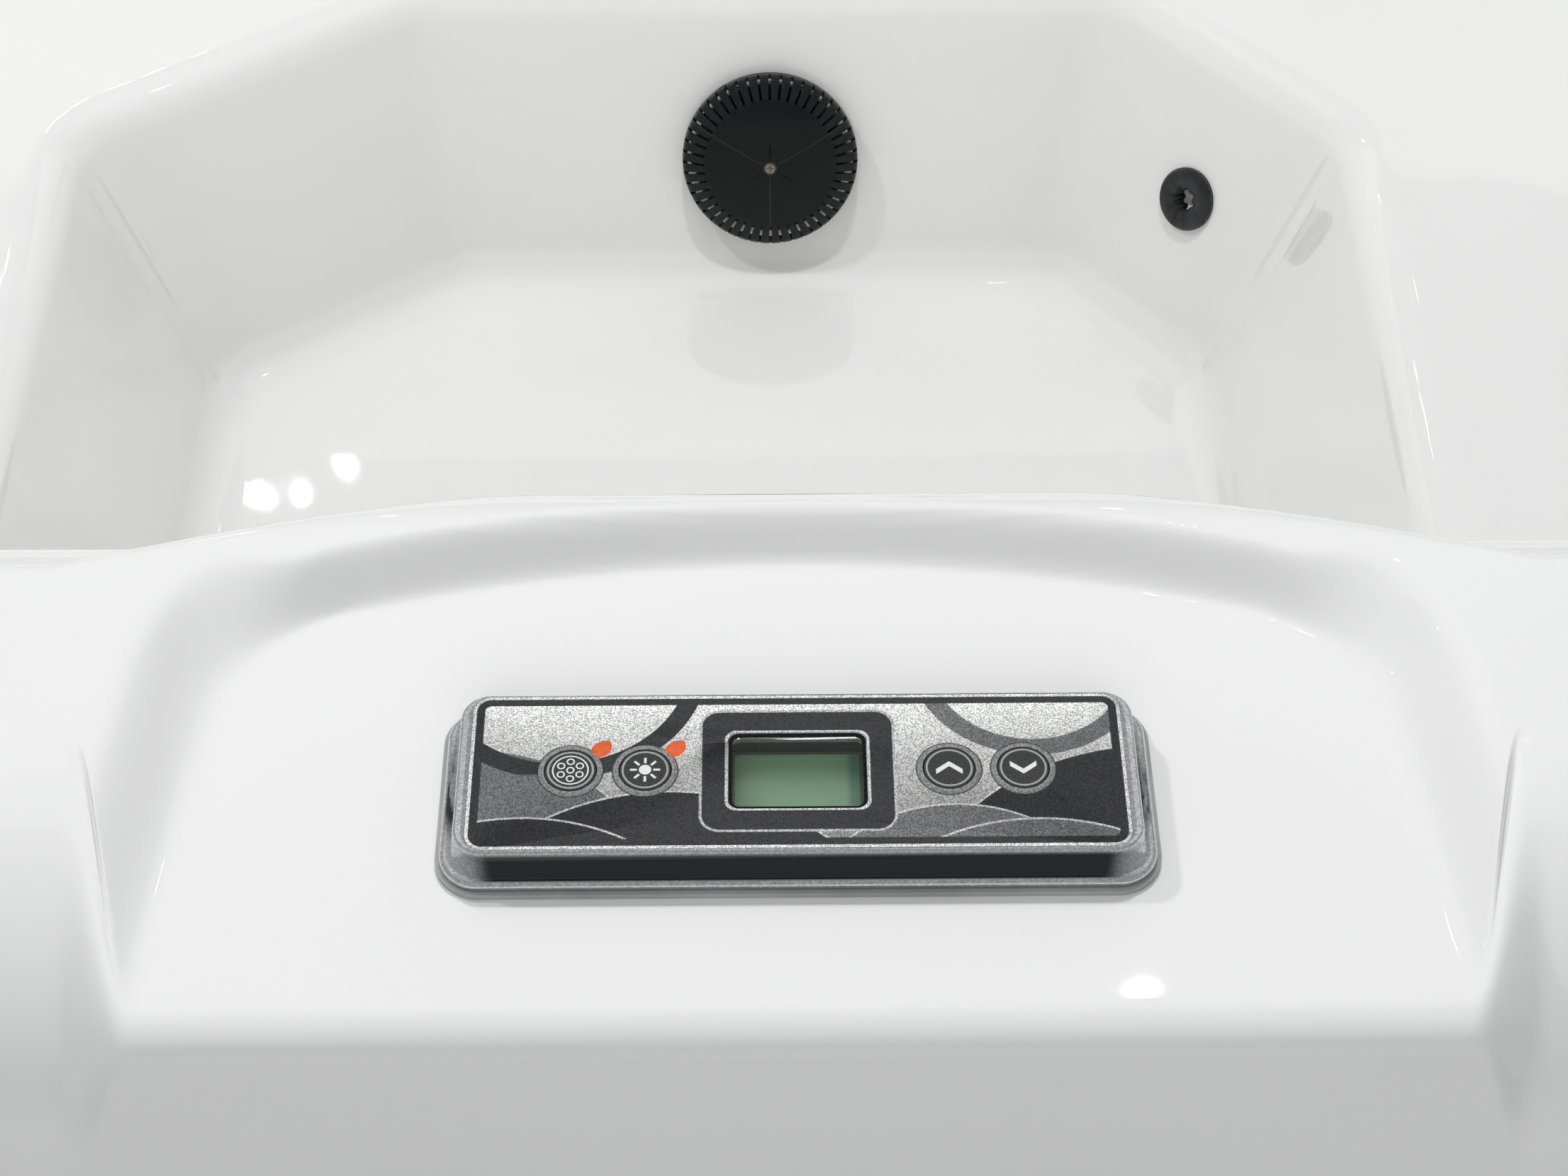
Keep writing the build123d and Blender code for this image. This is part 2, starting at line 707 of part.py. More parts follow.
def make_skirt_panel(name, middle, outward, width):
    """One side of the cabinet: a board with slat grooves and holes for its screws."""
    face = Plane(origin=middle, x_dir=(-outward[1], outward[0], 0), z_dir=(outward[0], outward[1], 0))
    count = int(SKIRT_H // SLAT_PITCH)
    grooves = [(0, (i - (count - 1) / 2) * SLAT_PITCH) for i in range(count)]
    bores = screw_bores()
    with BuildPart() as panel:
        with BuildSketch(face):
            Rectangle(width, SKIRT_H)
        extrude(amount=-SKIRT_T)
        with BuildSketch(face):
            with Locations(grooves):
                Rectangle(width, GROOVE_W)
        extrude(amount=-GROOVE_DEPTH, mode=Mode.SUBTRACT)
        add(bores, mode=Mode.SUBTRACT)
    keep(panel, name)


def make_skirt():
    """Four cabinet sides, their round corners and the screws."""
    middle_z = PAN_T + SKIRT_H / 2
    wide = 2 * (SKIRT_X - SKIRT_CORNER_R - SKIRT_GAP)
    deep = 2 * (SKIRT_Y - SKIRT_CORNER_R - SKIRT_GAP)
    make_skirt_panel("skirt_front", (0, -SKIRT_Y, middle_z), (0, -1), wide)
    make_skirt_panel("skirt_back", (0, SKIRT_Y, middle_z), (0, 1), wide)
    make_skirt_panel("skirt_left", (-SKIRT_X, 0, middle_z), (-1, 0), deep)
    make_skirt_panel("skirt_right", (SKIRT_X, 0, middle_z), (1, 0), deep)
    inner_r = SKIRT_CORNER_R - SKIRT_T
    with BuildPart() as corners:
        with BuildSketch(Plane.XY.offset(PAN_T)):
            RectangleRounded(2 * SKIRT_X, 2 * SKIRT_Y, SKIRT_CORNER_R)
            RectangleRounded(2 * (SKIRT_X - SKIRT_T), 2 * (SKIRT_Y - SKIRT_T), inner_r, mode=Mode.SUBTRACT)
            Rectangle(2 * (SKIRT_X - SKIRT_CORNER_R), 2 * WIDTH, mode=Mode.SUBTRACT)
            Rectangle(2 * LENGTH, 2 * (SKIRT_Y - SKIRT_CORNER_R), mode=Mode.SUBTRACT)
        extrude(amount=SKIRT_H)
    keep(corners, "skirt_corners")
    with BuildPart() as screws:
        for plane in screw_planes():
            with BuildSketch(plane):
                Circle(SCREW_HEAD_R)
            extrude(amount=SCREW_HEAD_T, taper=25)
            with BuildSketch(plane):
                Circle(SCREW_R)
            extrude(amount=-SCREW_LENGTH)
    keep(screws, "skirt_screws")


def lamp_outline(grow):
    """Leaf-shaped light beside a key: two arcs that meet in two points."""
    reach = LAMP_W + grow
    with BuildSketch() as leaf:
        with BuildLine():
            ThreePointArc((-reach / 2, -reach / 2), (-LAMP_R / 3, LAMP_R / 3), (reach / 2, reach / 2))
            ThreePointArc((reach / 2, reach / 2), (LAMP_R / 2, -LAMP_R / 2), (-reach / 2, -reach / 2))
        make_face()
    return leaf.sketch


def panel_lamps(z, grow, height):
    """Both key lights, or their openings."""
    leaf = lamp_outline(grow)
    with BuildPart() as lamps:
        with BuildSketch(PANEL_PLANE.offset(z)):
            with Locations([(x + LAMP_DX, LAMP_DY) for x in KEY_XS[:2]]):
                add(leaf)
        extrude(amount=height)
    return lamps.part


def make_panel_gasket():
    """Foam gasket between the control panel and the platform."""
    with BuildPart() as gasket:
        with BuildSketch(PANEL_PLANE.offset(PLATFORM_Z)):
            RectangleRounded(
                PANEL_W + 2 * PANEL_GASKET_EDGE,
                PANEL_D + 2 * PANEL_GASKET_EDGE,
                PANEL_R + PANEL_GASKET_EDGE,
            )
            RectangleRounded(
                SLEEVE_W + 2 * CUTOUT_GAP,
                SLEEVE_D + 2 * CUTOUT_GAP,
                SLEEVE_R + CUTOUT_GAP,
                mode=Mode.SUBTRACT,
            )
        extrude(amount=PANEL_GASKET_T)
    keep(gasket, "panel_gasket")


def make_panel_housing():
    """Plated bezel with a flange, a sleeve through the deck and pillars for the board."""
    inner_w = SLEEVE_W - 2 * SLEEVE_WALL
    inner_d = SLEEVE_D - 2 * SLEEVE_WALL
    deck_z = OVERLAY_Z - PANEL_DECK_T
    pillars = [(x, y) for x in (-PILLAR_X, PILLAR_X) for y in (-PILLAR_Y, PILLAR_Y)]
    with BuildPart() as housing:
        with BuildSketch(PANEL_PLANE.offset(FLANGE_Z)):
            RectangleRounded(PANEL_W, PANEL_D, PANEL_R)
        extrude(amount=FLANGE_T)
        fillet(level(housing, -1).edges(), FLANGE_T / 2)
        with BuildSketch(PANEL_PLANE.offset(FLANGE_Z)):
            RectangleRounded(BEZEL_W, BEZEL_D, PANEL_R - FLANGE_T)
        with BuildSketch(PANEL_PLANE.offset(PANEL_TOP)):
            RectangleRounded(BEZEL_W - BEZEL_SLOPE, BEZEL_D - BEZEL_SLOPE, PANEL_R - FLANGE_T)
        loft(ruled=True)
        fillet(level(housing, -1).edges(), OVERLAY_T)
        with BuildSketch(PANEL_PLANE.offset(OVERLAY_Z)):
            RectangleRounded(OVERLAY_W + 2 * LAMP_GAP, OVERLAY_D + 2 * LAMP_GAP, OVERLAY_R + LAMP_GAP)
        extrude(amount=PANEL_H, mode=Mode.SUBTRACT)
        with BuildSketch(PANEL_PLANE.offset(SLEEVE_BOTTOM)):
            RectangleRounded(SLEEVE_W, SLEEVE_D, SLEEVE_R)
        extrude(amount=FLANGE_Z - SLEEVE_BOTTOM)
        with BuildSketch(PANEL_PLANE.offset(SLEEVE_BOTTOM)):
            RectangleRounded(inner_w, inner_d, SLEEVE_R - SLEEVE_WALL)
        extrude(amount=deck_z - SLEEVE_BOTTOM, mode=Mode.SUBTRACT)
        with BuildSketch(PANEL_PLANE.offset(deck_z)):
            with Locations([(x, 0) for x in KEY_XS]):
                Circle(KEY_STEM_R + KEY_GAP)
            RectangleRounded(
                WINDOW_W - 2 * WINDOW_LEDGE, WINDOW_D - 2 * WINDOW_LEDGE, WINDOW_R - WINDOW_LEDGE
            )
        extrude(amount=PANEL_H, mode=Mode.SUBTRACT)
        with BuildSketch(PANEL_PLANE.offset(KEY_WELL_Z)):
            with Locations([(x, 0) for x in KEY_XS]):
                Circle(KEY_R + KEY_GAP)
        extrude(amount=PANEL_H, mode=Mode.SUBTRACT)
        with BuildSketch(PANEL_PLANE.offset(BOARD_TOP)):
            with Locations(pillars):
                Circle(PILLAR_R)
        extrude(amount=deck_z - BOARD_TOP)
    keep(housing, "panel_housing")


def make_panel_overlay():
    """Face plate with its window, key holes, raised key rings and light openings."""
    lights = panel_lamps(OVERLAY_Z, LAMP_GAP, OVERLAY_T)
    with BuildPart() as overlay:
        with BuildSketch(PANEL_PLANE.offset(OVERLAY_Z)):
            RectangleRounded(OVERLAY_W, OVERLAY_D, OVERLAY_R)
        extrude(amount=OVERLAY_T)
        with BuildSketch(PANEL_PLANE.offset(PANEL_TOP)):
            with Locations([(x, 0) for x in KEY_XS]):
                Circle(KEY_RING_R)
        extrude(amount=KEY_RING_H, taper=30)
        with BuildSketch(PANEL_PLANE.offset(OVERLAY_Z)):
            with Locations([(x, 0) for x in KEY_XS]):
                Circle(KEY_R + KEY_GAP)
            RectangleRounded(WINDOW_W + 2 * WINDOW_GAP, WINDOW_D + 2 * WINDOW_GAP, WINDOW_R + WINDOW_GAP)
        extrude(amount=PANEL_H, mode=Mode.SUBTRACT)
        add(lights, mode=Mode.SUBTRACT)
    keep(overlay, "panel_overlay")


def make_panel_face():
    """Clear window and the two lights that sit in the face plate."""
    with BuildPart() as window:
        with BuildSketch(PANEL_PLANE.offset(OVERLAY_Z)):
            RectangleRounded(WINDOW_W, WINDOW_D, WINDOW_R)
        extrude(amount=WINDOW_T)
    keep(window, "panel_window")
    lights = panel_lamps(OVERLAY_Z, 0.0, OVERLAY_T)
    with BuildPart() as lamps:
        add(lights)
    keep(lamps, "panel_lamps")


def make_panel_inside():
    """Circuit board, display, key switches and the cover under them."""
    inner_w = SLEEVE_W - 2 * SLEEVE_WALL
    inner_d = SLEEVE_D - 2 * SLEEVE_WALL
    with BuildPart() as board:
        with BuildSketch(PANEL_PLANE.offset(BOARD_Z)):
            RectangleRounded(inner_w - 2 * BOARD_GAP, inner_d - 2 * BOARD_GAP, SLEEVE_R - SLEEVE_WALL)
        extrude(amount=BOARD_T)
    keep(board, "circuit_board")
    with BuildPart() as display:
        with BuildSketch(PANEL_PLANE.offset(BOARD_TOP)):
            Rectangle(LCD_W, LCD_D)
        extrude(amount=LCD_H)
        with BuildSketch(PANEL_PLANE.offset(BOARD_TOP + LCD_H)):
            Rectangle(WINDOW_W, WINDOW_D)
        extrude(amount=-WINDOW_LEDGE, mode=Mode.SUBTRACT)
    keep(display, "lcd_module")
    plunger_top = KEY_STEM_Z - KEY_TRAVEL - RUNNING_GAP
    with BuildPart() as switches:
        with BuildSketch(PANEL_PLANE.offset(BOARD_TOP)):
            with Locations([(x, 0) for x in KEY_XS]):
                Rectangle(SWITCH_W, SWITCH_W)
        extrude(amount=SWITCH_H)
        with BuildSketch(PANEL_PLANE.offset(BOARD_TOP + SWITCH_H)):
            with Locations([(x, 0) for x in KEY_XS]):
                Circle(PLUNGER_R)
        extrude(amount=plunger_top - BOARD_TOP - SWITCH_H)
    keep(switches, "key_switches")
    cover_z = SLEEVE_BOTTOM - BACK_COVER_T
    with BuildPart() as cover:
        with BuildSketch(PANEL_PLANE.offset(cover_z)):
            RectangleRounded(SLEEVE_W, SLEEVE_D, SLEEVE_R)
        extrude(amount=BACK_COVER_T)
        with BuildSketch(PANEL_PLANE.offset(cover_z)):
            Circle(GLAND_R)
        extrude(amount=-GLAND_L, taper=3)
        with BuildSketch(PANEL_PLANE.offset(SLEEVE_BOTTOM)):
            Circle(GLAND_BORE_R)
        extrude(amount=-BACK_COVER_T - GLAND_L, mode=Mode.SUBTRACT)
    keep(cover, "panel_back_cover")


def make_key(name, x):
    """One push button: a crowned cap on a stem that reaches its switch."""
    with BuildPart() as key:
        with BuildSketch(PANEL_PLANE.offset(KEY_CAP_Z)):
            with Locations((x, 0)):
                Circle(KEY_R)
        extrude(amount=KEY_CAP_T)
        fillet(level(key, -1).edges(), KEY_CAP_T / 3)
        with BuildSketch(PANEL_PLANE.offset(KEY_CAP_Z)):
            with Locations((x, 0)):
                Circle(KEY_STEM_R)
        extrude(amount=-KEY_STEM_L)
    keep(key, name)


def dome_points(radius, low, rise):
    """Rim, middle and crown of a round dome's half section, its centre on the axis."""
    ball_r = (radius ** 2 + rise ** 2) / (2 * rise)
    half = math.asin(radius / ball_r) / 2
    centre = low + rise - ball_r
    middle = (ball_r * math.sin(half), centre + ball_r * math.cos(half))
    return (radius, low), middle, (0, low + rise)


def cover_section():
    """Half section of the suction cover: a low dome on a straight skirt."""
    low = SUCTION_GASKET_T + SUCTION_FLANGE_T + LOOSE_GAP
    rise = COVER_RISE - COVER_SKIRT
    brim, shoulder, crown = dome_points(COVER_R, low + COVER_SKIRT, rise)
    inner = dome_points(COVER_R - COVER_WALL, low + COVER_SKIRT, rise - COVER_WALL)
    inner_brim, inner_shoulder, inner_crown = inner
    with BuildSketch(section_of(SUCTION)) as section:
        with BuildLine():
            Polyline(inner_brim, (inner_brim[0], low), (brim[0], low), brim)
            ThreePointArc(brim, shoulder, crown)
            Line(crown, inner_crown)
            ThreePointArc(inner_crown, inner_shoulder, inner_brim)
        make_face()
    return section.sketch


def is_brim_edge(edge):
    """True for the circle where the suction cover's skirt meets its dome."""
    height = SUCTION_GASKET_T + SUCTION_FLANGE_T + LOOSE_GAP + COVER_SKIRT
    return edge.geom_type == GeomType.CIRCLE and edge.radius > COVER_R - RUNNING_GAP and (
        abs((edge.arc_center - SUCTION.origin).dot(SUCTION.z_dir) - height) < RUNNING_GAP
    )


def make_suction_cover():
    """Domed cover with a ring of fine slots, three seams and a boss for its screw."""
    section = cover_section()
    low = SUCTION_GASKET_T + SUCTION_FLANGE_T + LOOSE_GAP
    top = low + COVER_RISE
    with BuildPart() as cover:
        add(section)
        revolve(axis=Axis(SUCTION.origin, SUCTION.z_dir))
        fillet(cover.edges().filter_by(is_brim_edge), COVER_EDGE_R)
        with BuildSketch(SUCTION.offset(low)):
            Circle(SUCTION_BOSS_R)
        extrude(amount=COVER_RISE - COVER_WALL / 2)
        with BuildSketch(SUCTION.offset(low + COVER_SKIRT / 2)):
            with PolarLocations(COVER_R, COVER_SLOTS):
                Rectangle(COVER_R / 2, COVER_SLOT_W)
        extrude(amount=COVER_RISE, mode=Mode.SUBTRACT)
        with BuildSketch(SUCTION.offset(top)):
            with PolarLocations(COVER_R / 2, COVER_SEAMS, start_angle=90):
                Rectangle(COVER_R - 2 * SUCTION_BOSS_R, COVER_SEAM_W)
        extrude(amount=-COVER_WALL / 2, mode=Mode.SUBTRACT)
        with BuildSketch(SUCTION.offset(top)):
            Circle(COVER_SCREW_HEAD_R + RUNNING_GAP)
        extrude(amount=-COVER_SCREW_HEAD_T, mode=Mode.SUBTRACT)
        with BuildSketch(SUCTION.offset(top)):
            Circle(COVER_SCREW_R + RUNNING_GAP)
        extrude(amount=-2 * COVER_RISE, mode=Mode.SUBTRACT)
    keep(cover, "suction_cover")
    with BuildPart() as screw:
        with BuildSketch(SUCTION.offset(top)):
            Circle(COVER_SCREW_HEAD_R)
        extrude(amount=-COVER_SCREW_HEAD_T)
        with BuildSketch(SUCTION.offset(top)):
            Circle(COVER_SCREW_R)
        extrude(amount=-COVER_RISE - SUCTION_ARM_T)
        with BuildSketch(SUCTION.offset(top)):
            Rectangle(COVER_SCREW_HEAD_R, COVER_SEAM_W)
            Rectangle(COVER_SEAM_W, COVER_SCREW_HEAD_R)
        extrude(amount=-COVER_SCREW_HEAD_T / 2, mode=Mode.SUBTRACT)
    keep(screw, "suction_screw")


def make_suction_body():
    """Wall fitting behind the cover: flange, barrel and the spider that takes the screw."""
    seat = SUCTION_GASKET_T
    face = seat + SUCTION_FLANGE_T
    profile = [
        (SUCTION_BORE_R, face),
        (SUCTION_FLANGE_R, face),
        (SUCTION_FLANGE_R, seat),
        (SUCTION_BARREL_R, seat),
        (SUCTION_BARREL_R, -SUCTION_DEPTH),
        (PIPE_BORE_R, -SUCTION_DEPTH),
        (PIPE_BORE_R, -SUCTION_DEPTH + SUCTION_FLANGE_T),
        (SUCTION_BORE_R, -SUCTION_DEPTH + 3 * SUCTION_FLANGE_T),
    ]
    blank = turned(SUCTION, profile)
    with BuildPart() as body:
        add(blank)
        with BuildSketch(SUCTION.offset(face)):
            with PolarLocations(SUCTION_BORE_R / 2, COVER_SEAMS, start_angle=90):
                Rectangle(SUCTION_BORE_R + SUCTION_ARM_W / 2, SUCTION_ARM_W)
            Circle(SUCTION_BOSS_R)
            Circle(COVER_SCREW_R + RUNNING_GAP, mode=Mode.SUBTRACT)
        extrude(amount=-SUCTION_ARM_T)
    keep(body, "suction_body")
    seal = sleeve_points(SUCTION_FLANGE_R, SUCTION_BARREL_R + LOOSE_GAP, 0, SUCTION_GASKET_T)
    ring = turned(SUCTION, seal)
    with BuildPart() as gasket:
        add(ring)
    keep(gasket, "suction_gasket")
    blank_nut = hex_nut(SUCTION, SUCTION_BARREL_R, -SKIN)
    with BuildPart() as nut:
        add(blank_nut)
    keep(nut, "suction_nut")


def make_return_fitting():
    """Small wall fitting whose bore opens as a ring of lobes."""
    face = RETURN_GASKET_T + RETURN_FLANGE_T
    profile = [
        (0, face),
        (RETURN_R - RETURN_FLANGE_T / 2, face),
        (RETURN_R, RETURN_GASKET_T + RETURN_FLANGE_T / 3),
        (RETURN_R, RETURN_GASKET_T),
        (RETURN_BARREL_R, RETURN_GASKET_T),
        (RETURN_BARREL_R, -RETURN_DEPTH),
        (0, -RETURN_DEPTH),
    ]
    blank = turned(RETURN, profile)
    with BuildPart() as fitting:
        add(blank)
        with BuildSketch(RETURN.offset(face)):
            Circle(RETURN_BORE_R)
            with PolarLocations(RETURN_BORE_R, RETURN_LOBES):
                Circle(RETURN_LOBE_R)
        extrude(amount=-RETURN_DEPTH / 3, mode=Mode.SUBTRACT)
        with BuildSketch(RETURN.offset(face)):
            Circle(RETURN_BORE_R)
        extrude(amount=-RETURN_DEPTH - face, mode=Mode.SUBTRACT)
    keep(fitting, "return_fitting")
    ring = turned(RETURN, sleeve_points(RETURN_R, RETURN_BARREL_R + LOOSE_GAP, 0, RETURN_GASKET_T))
    with BuildPart() as gasket:
        add(ring)
    keep(gasket, "return_gasket")
    blank_nut = hex_nut(RETURN, RETURN_BARREL_R, -SKIN)
    with BuildPart() as nut:
        add(blank_nut)
    keep(nut, "return_nut")


def make_light():
    """Underwater lamp: domed lens, closed can and the nut behind the wall."""
    seat = LIGHT_FLANGE_T
    rim, shoulder, crown = dome_points(LIGHT_LENS_R, seat, LIGHT_LENS_RISE)
    with BuildPart() as lens:
        with BuildSketch(section_of(LIGHT)):
            with BuildLine():
                ThreePointArc(rim, shoulder, crown)
                Polyline(crown, (0, seat), rim)
            make_face()
        revolve(axis=Axis(LIGHT.origin, LIGHT.z_dir))
    keep(lens, "light_lens")
    inner_r = LIGHT_BARREL_R - LIGHT_WALL
    profile = [
        (inner_r, seat),
        (LIGHT_R, seat),
        (LIGHT_R, 0),
        (LIGHT_BARREL_R, 0),
        (LIGHT_BARREL_R, -LIGHT_DEPTH),
        (0, -LIGHT_DEPTH),
        (0, -LIGHT_DEPTH + LIGHT_WALL),
        (inner_r, -LIGHT_DEPTH + LIGHT_WALL),
    ]
    blank = turned(LIGHT, profile)
    with BuildPart() as can:
        add(blank)
    keep(can, "light_housing")
    blank_nut = hex_nut(LIGHT, LIGHT_BARREL_R, -SKIN)
    with BuildPart() as nut:
        add(blank_nut)
    keep(nut, "light_nut")


def jet_barrel(plane):
    """One jet body: flange, barrel through the wall and a chamber on the ring pipe."""
    reach = (RING_X - basin_half(JET_Z)[0]) / math.cos(math.radians(BASIN_DRAFT))
    centre = plane.origin - plane.z_dir * reach
    flat = Plane(origin=(centre.X, centre.Y, RING_Z))
    profile = [
        (0, JET_FLANGE_T),
        (JET_FLANGE_R, JET_FLANGE_T),
        (JET_FLANGE_R, 0),
        (JET_BARREL_R, 0),
        (JET_BARREL_R, -reach),
        (0, -reach),
    ]
    blank = turned(plane, profile)
    run = sleeve_points(RING_R + SADDLE_GAP, 0, -JET_SPREAD, JET_SPREAD)
    pipe = turned(Plane(origin=(centre.X, centre.Y, RING_Z), z_dir=plane.x_dir), run)
    with BuildPart() as body:
        add(blank)
        with BuildSketch(flat):
            Circle(JET_CHAMBER_R)
        extrude(amount=JET_CHAMBER_TOP - RING_Z)
        with BuildSketch(plane.offset(JET_FLANGE_T)):
            Circle(JET_BORE_R)
        extrude(amount=-reach - JET_FLANGE_T, mode=Mode.SUBTRACT)
        add(pipe, mode=Mode.SUBTRACT)
    return body.part


def make_jets():
    """Six jet bodies with their nuts, and the turning face of each jet."""
    planes = jet_planes()
    barrels = [jet_barrel(plane) for plane in planes]
    nuts = [hex_nut(plane, JET_BARREL_R, -SKIN) for plane in planes]
    with BuildPart() as bodies:
        for barrel in barrels:
            add(barrel)
    keep(bodies, "jet_bodies")
    with BuildPart() as ring_nuts:
        for nut in nuts:
            add(nut)
    keep(ring_nuts, "jet_nuts")
    for index, plane in enumerate(planes):
        make_jet_face(f"jet_face_{index + 1}", plane)


def make_jet_face(name, plane):
    """Turning face of a jet: finger scallops, a swirl nozzle and a stem in the bore."""
    low = JET_FLANGE_T + LOOSE_GAP
    high = low + JET_FACE_T
    profile = [
        (0, high - JET_FACE_T / 2),
        (JET_BORE_R, high - JET_FACE_T / 2),
        (JET_DISH_R, high),
        (JET_FACE_R, low + JET_FACE_T / 3),
        (JET_FACE_R, low),
        (JET_BORE_R - RUNNING_GAP, low),
        (JET_BORE_R - RUNNING_GAP, low - JET_STEM_L),
        (0, low - JET_STEM_L),
    ]
    blank = turned(plane, profile)
    with BuildPart() as face:
        add(blank)
        with BuildSketch(plane.offset(high)):
            with PolarLocations(JET_GRIP_AT, JET_GRIPS):
                Circle(JET_GRIP_R)
            with PolarLocations(JET_BORE_R / 2, 2):
                Circle(JET_NOZZLE_R)
        extrude(amount=low - high - JET_STEM_L, mode=Mode.SUBTRACT)
    keep(face, name)


def make_air_controls():
    """Two air valves in the rim with their nuts and knobs."""
    body_points = [
        (AIR_BORE_R, AIR_FLANGE_T),
        (AIR_FLANGE_R, AIR_FLANGE_T),
        (AIR_FLANGE_R, 0),
        (AIR_BARREL_R, 0),
        (AIR_BARREL_R, -AIR_DEPTH),
        (AIR_BORE_R, -AIR_DEPTH),
    ]
    barrels = [turned(plane, body_points) for plane in AIR_PLANES]
    nuts = [hex_nut(plane, AIR_BARREL_R, -SKIN) for plane in AIR_PLANES]
    with BuildPart() as bodies:
        for barrel in barrels:
            add(barrel)
    keep(bodies, "air_valve_bodies")
    with BuildPart() as ring_nuts:
        for nut in nuts:
            add(nut)
    keep(ring_nuts, "air_valve_nuts")
    low = AIR_FLANGE_T + LOOSE_GAP
    for name, plane in zip(("air_knob_left", "air_knob_right"), AIR_PLANES):
        with BuildPart() as knob:
            with BuildSketch(plane.offset(low)):
                Circle(AIR_KNOB_R)
                with PolarLocations(AIR_GRIP_AT, AIR_GRIPS):
                    Circle(AIR_GRIP_R, mode=Mode.SUBTRACT)
            extrude(amount=AIR_KNOB_H, taper=6)
            fillet(level(knob, -1).edges(), AIR_FLANGE_T / 2)
            with BuildSketch(plane.offset(low)):
                Circle(AIR_BORE_R - RUNNING_GAP)
            extrude(amount=-AIR_STEM_L)
        keep(knob, name)


def pleat_outline():
    """Star-shaped outline of the pleated filter paper."""
    points = []
    for index in range(2 * CARTRIDGE_PLEATS):
        radius = CARTRIDGE_R - (index % 2) * CARTRIDGE_PLEAT_DEPTH
        angle = math.pi * index / CARTRIDGE_PLEATS
        points.append((radius * math.cos(angle), radius * math.sin(angle)))
    return points


def make_filter():
    """Canister in the deck, its turning lid and the pleated cartridge inside."""
    inner_r = FILTER_TUBE_R - FILTER_WALL
    bottom = FILTER_BOTTOM - RIM_TOP
    canister_points = [
        (inner_r, FILTER_FLANGE_T),
        (FILTER_FLANGE_R, FILTER_FLANGE_T),
        (FILTER_FLANGE_R, 0),
        (FILTER_TUBE_R, 0),
        (FILTER_TUBE_R, bottom),
        (0, bottom),
        (0, bottom + FILTER_WALL),
        (inner_r, bottom + FILTER_WALL),
    ]
    blank = turned(FILTER, canister_points)
    with BuildPart() as canister:
        add(blank)
    keep(canister, "filter_canister")
    low = FILTER_FLANGE_T + LOOSE_GAP
    skirt_r = inner_r - LOOSE_GAP
    with BuildPart() as lid:
        with BuildSketch(FILTER.offset(low)):
            Circle(FILTER_LID_R)
        extrude(amount=FILTER_LID_H)
        fillet(level(lid, -1).edges(), FILTER_LID_H / 2)
        with BuildSketch(FILTER.offset(low)):
            Circle(skirt_r)
            Circle(skirt_r - FILTER_WALL, mode=Mode.SUBTRACT)
        extrude(amount=-FILTER_LID_SKIRT)
        with BuildSketch(FILTER.offset(low + FILTER_LID_H)) as grip:
            SlotOverall(2 * skirt_r, FILTER_GRIP_W)
        extrude(amount=FILTER_GRIP_H, taper=8)
        fillet(level(lid, -1).edges(), FILTER_GRIP_W / 4)
    keep(lid, "filter_lid")
    paper_z = bottom + FILTER_WALL
    with BuildPart() as cartridge:
        with BuildSketch(FILTER.offset(paper_z)):
            Circle(CARTRIDGE_R)
            Circle(CARTRIDGE_CORE_R, mode=Mode.SUBTRACT)
        extrude(amount=CARTRIDGE_CAP_T)
        with BuildSketch(FILTER.offset(paper_z + CARTRIDGE_CAP_T)):
            Polygon(*pleat_outline(), align=None)
            Circle(CARTRIDGE_CORE_R, mode=Mode.SUBTRACT)
        extrude(amount=CARTRIDGE_H - 2 * CARTRIDGE_CAP_T)
        with BuildSketch(FILTER.offset(paper_z + CARTRIDGE_H - CARTRIDGE_CAP_T)):
            Circle(CARTRIDGE_R)
            Circle(CARTRIDGE_CORE_R, mode=Mode.SUBTRACT)
        extrude(amount=CARTRIDGE_CAP_T)
    keep(cartridge, "filter_cartridge")


def shaft_plane(x):
    """Plane across the pump's shaft at x, facing the motor."""
    return Plane(origin=(x, PUMP_Y, PUMP_Z), x_dir=(0, 1, 0), z_dir=(1, 0, 0))


def make_wet_end():
    """Pump volute: impeller chamber, front port and upright outlet."""
    outlet = Plane(origin=(OUTLET_X, OUTLET_Y, PUMP_Z))
    with BuildPart() as volute:
        with BuildSketch(shaft_plane(VOLUTE_X0)):
            Circle(VOLUTE_R)
        extrude(amount=VOLUTE_X1 - VOLUTE_X0)
        fillet(volute.edges().filter_by(GeomType.CIRCLE), VOLUTE_WALL / 2)
        with BuildSketch(shaft_plane(PUMP_PORT_X)):
            Circle(PORT_R)
        extrude(amount=VOLUTE_X0 - PUMP_PORT_X)
        with BuildSketch(outlet):
            Circle(PORT_R)
        extrude(amount=OUTLET_TOP - PUMP_Z)
        with BuildSketch(shaft_plane(VOLUTE_X0 + VOLUTE_WALL)):
            Circle(CHAMBER_R)
        extrude(amount=VOLUTE_X1 - VOLUTE_X0 - 2 * VOLUTE_WALL, mode=Mode.SUBTRACT)
        with BuildSketch(shaft_plane(PUMP_PORT_X)):
            Circle(PORT_BORE_R)
        extrude(amount=VOLUTE_X0 + VOLUTE_WALL - PUMP_PORT_X, mode=Mode.SUBTRACT)
        with BuildSketch(outlet):
            Circle(PORT_BORE_R)
        extrude(amount=OUTLET_TOP - PUMP_Z, mode=Mode.SUBTRACT)
        with BuildSketch(shaft_plane(VOLUTE_X1)):
            Circle(SHAFT_R + RUNNING_GAP)
        extrude(amount=-VOLUTE_WALL, mode=Mode.SUBTRACT)
    keep(volute, "pump_volute")


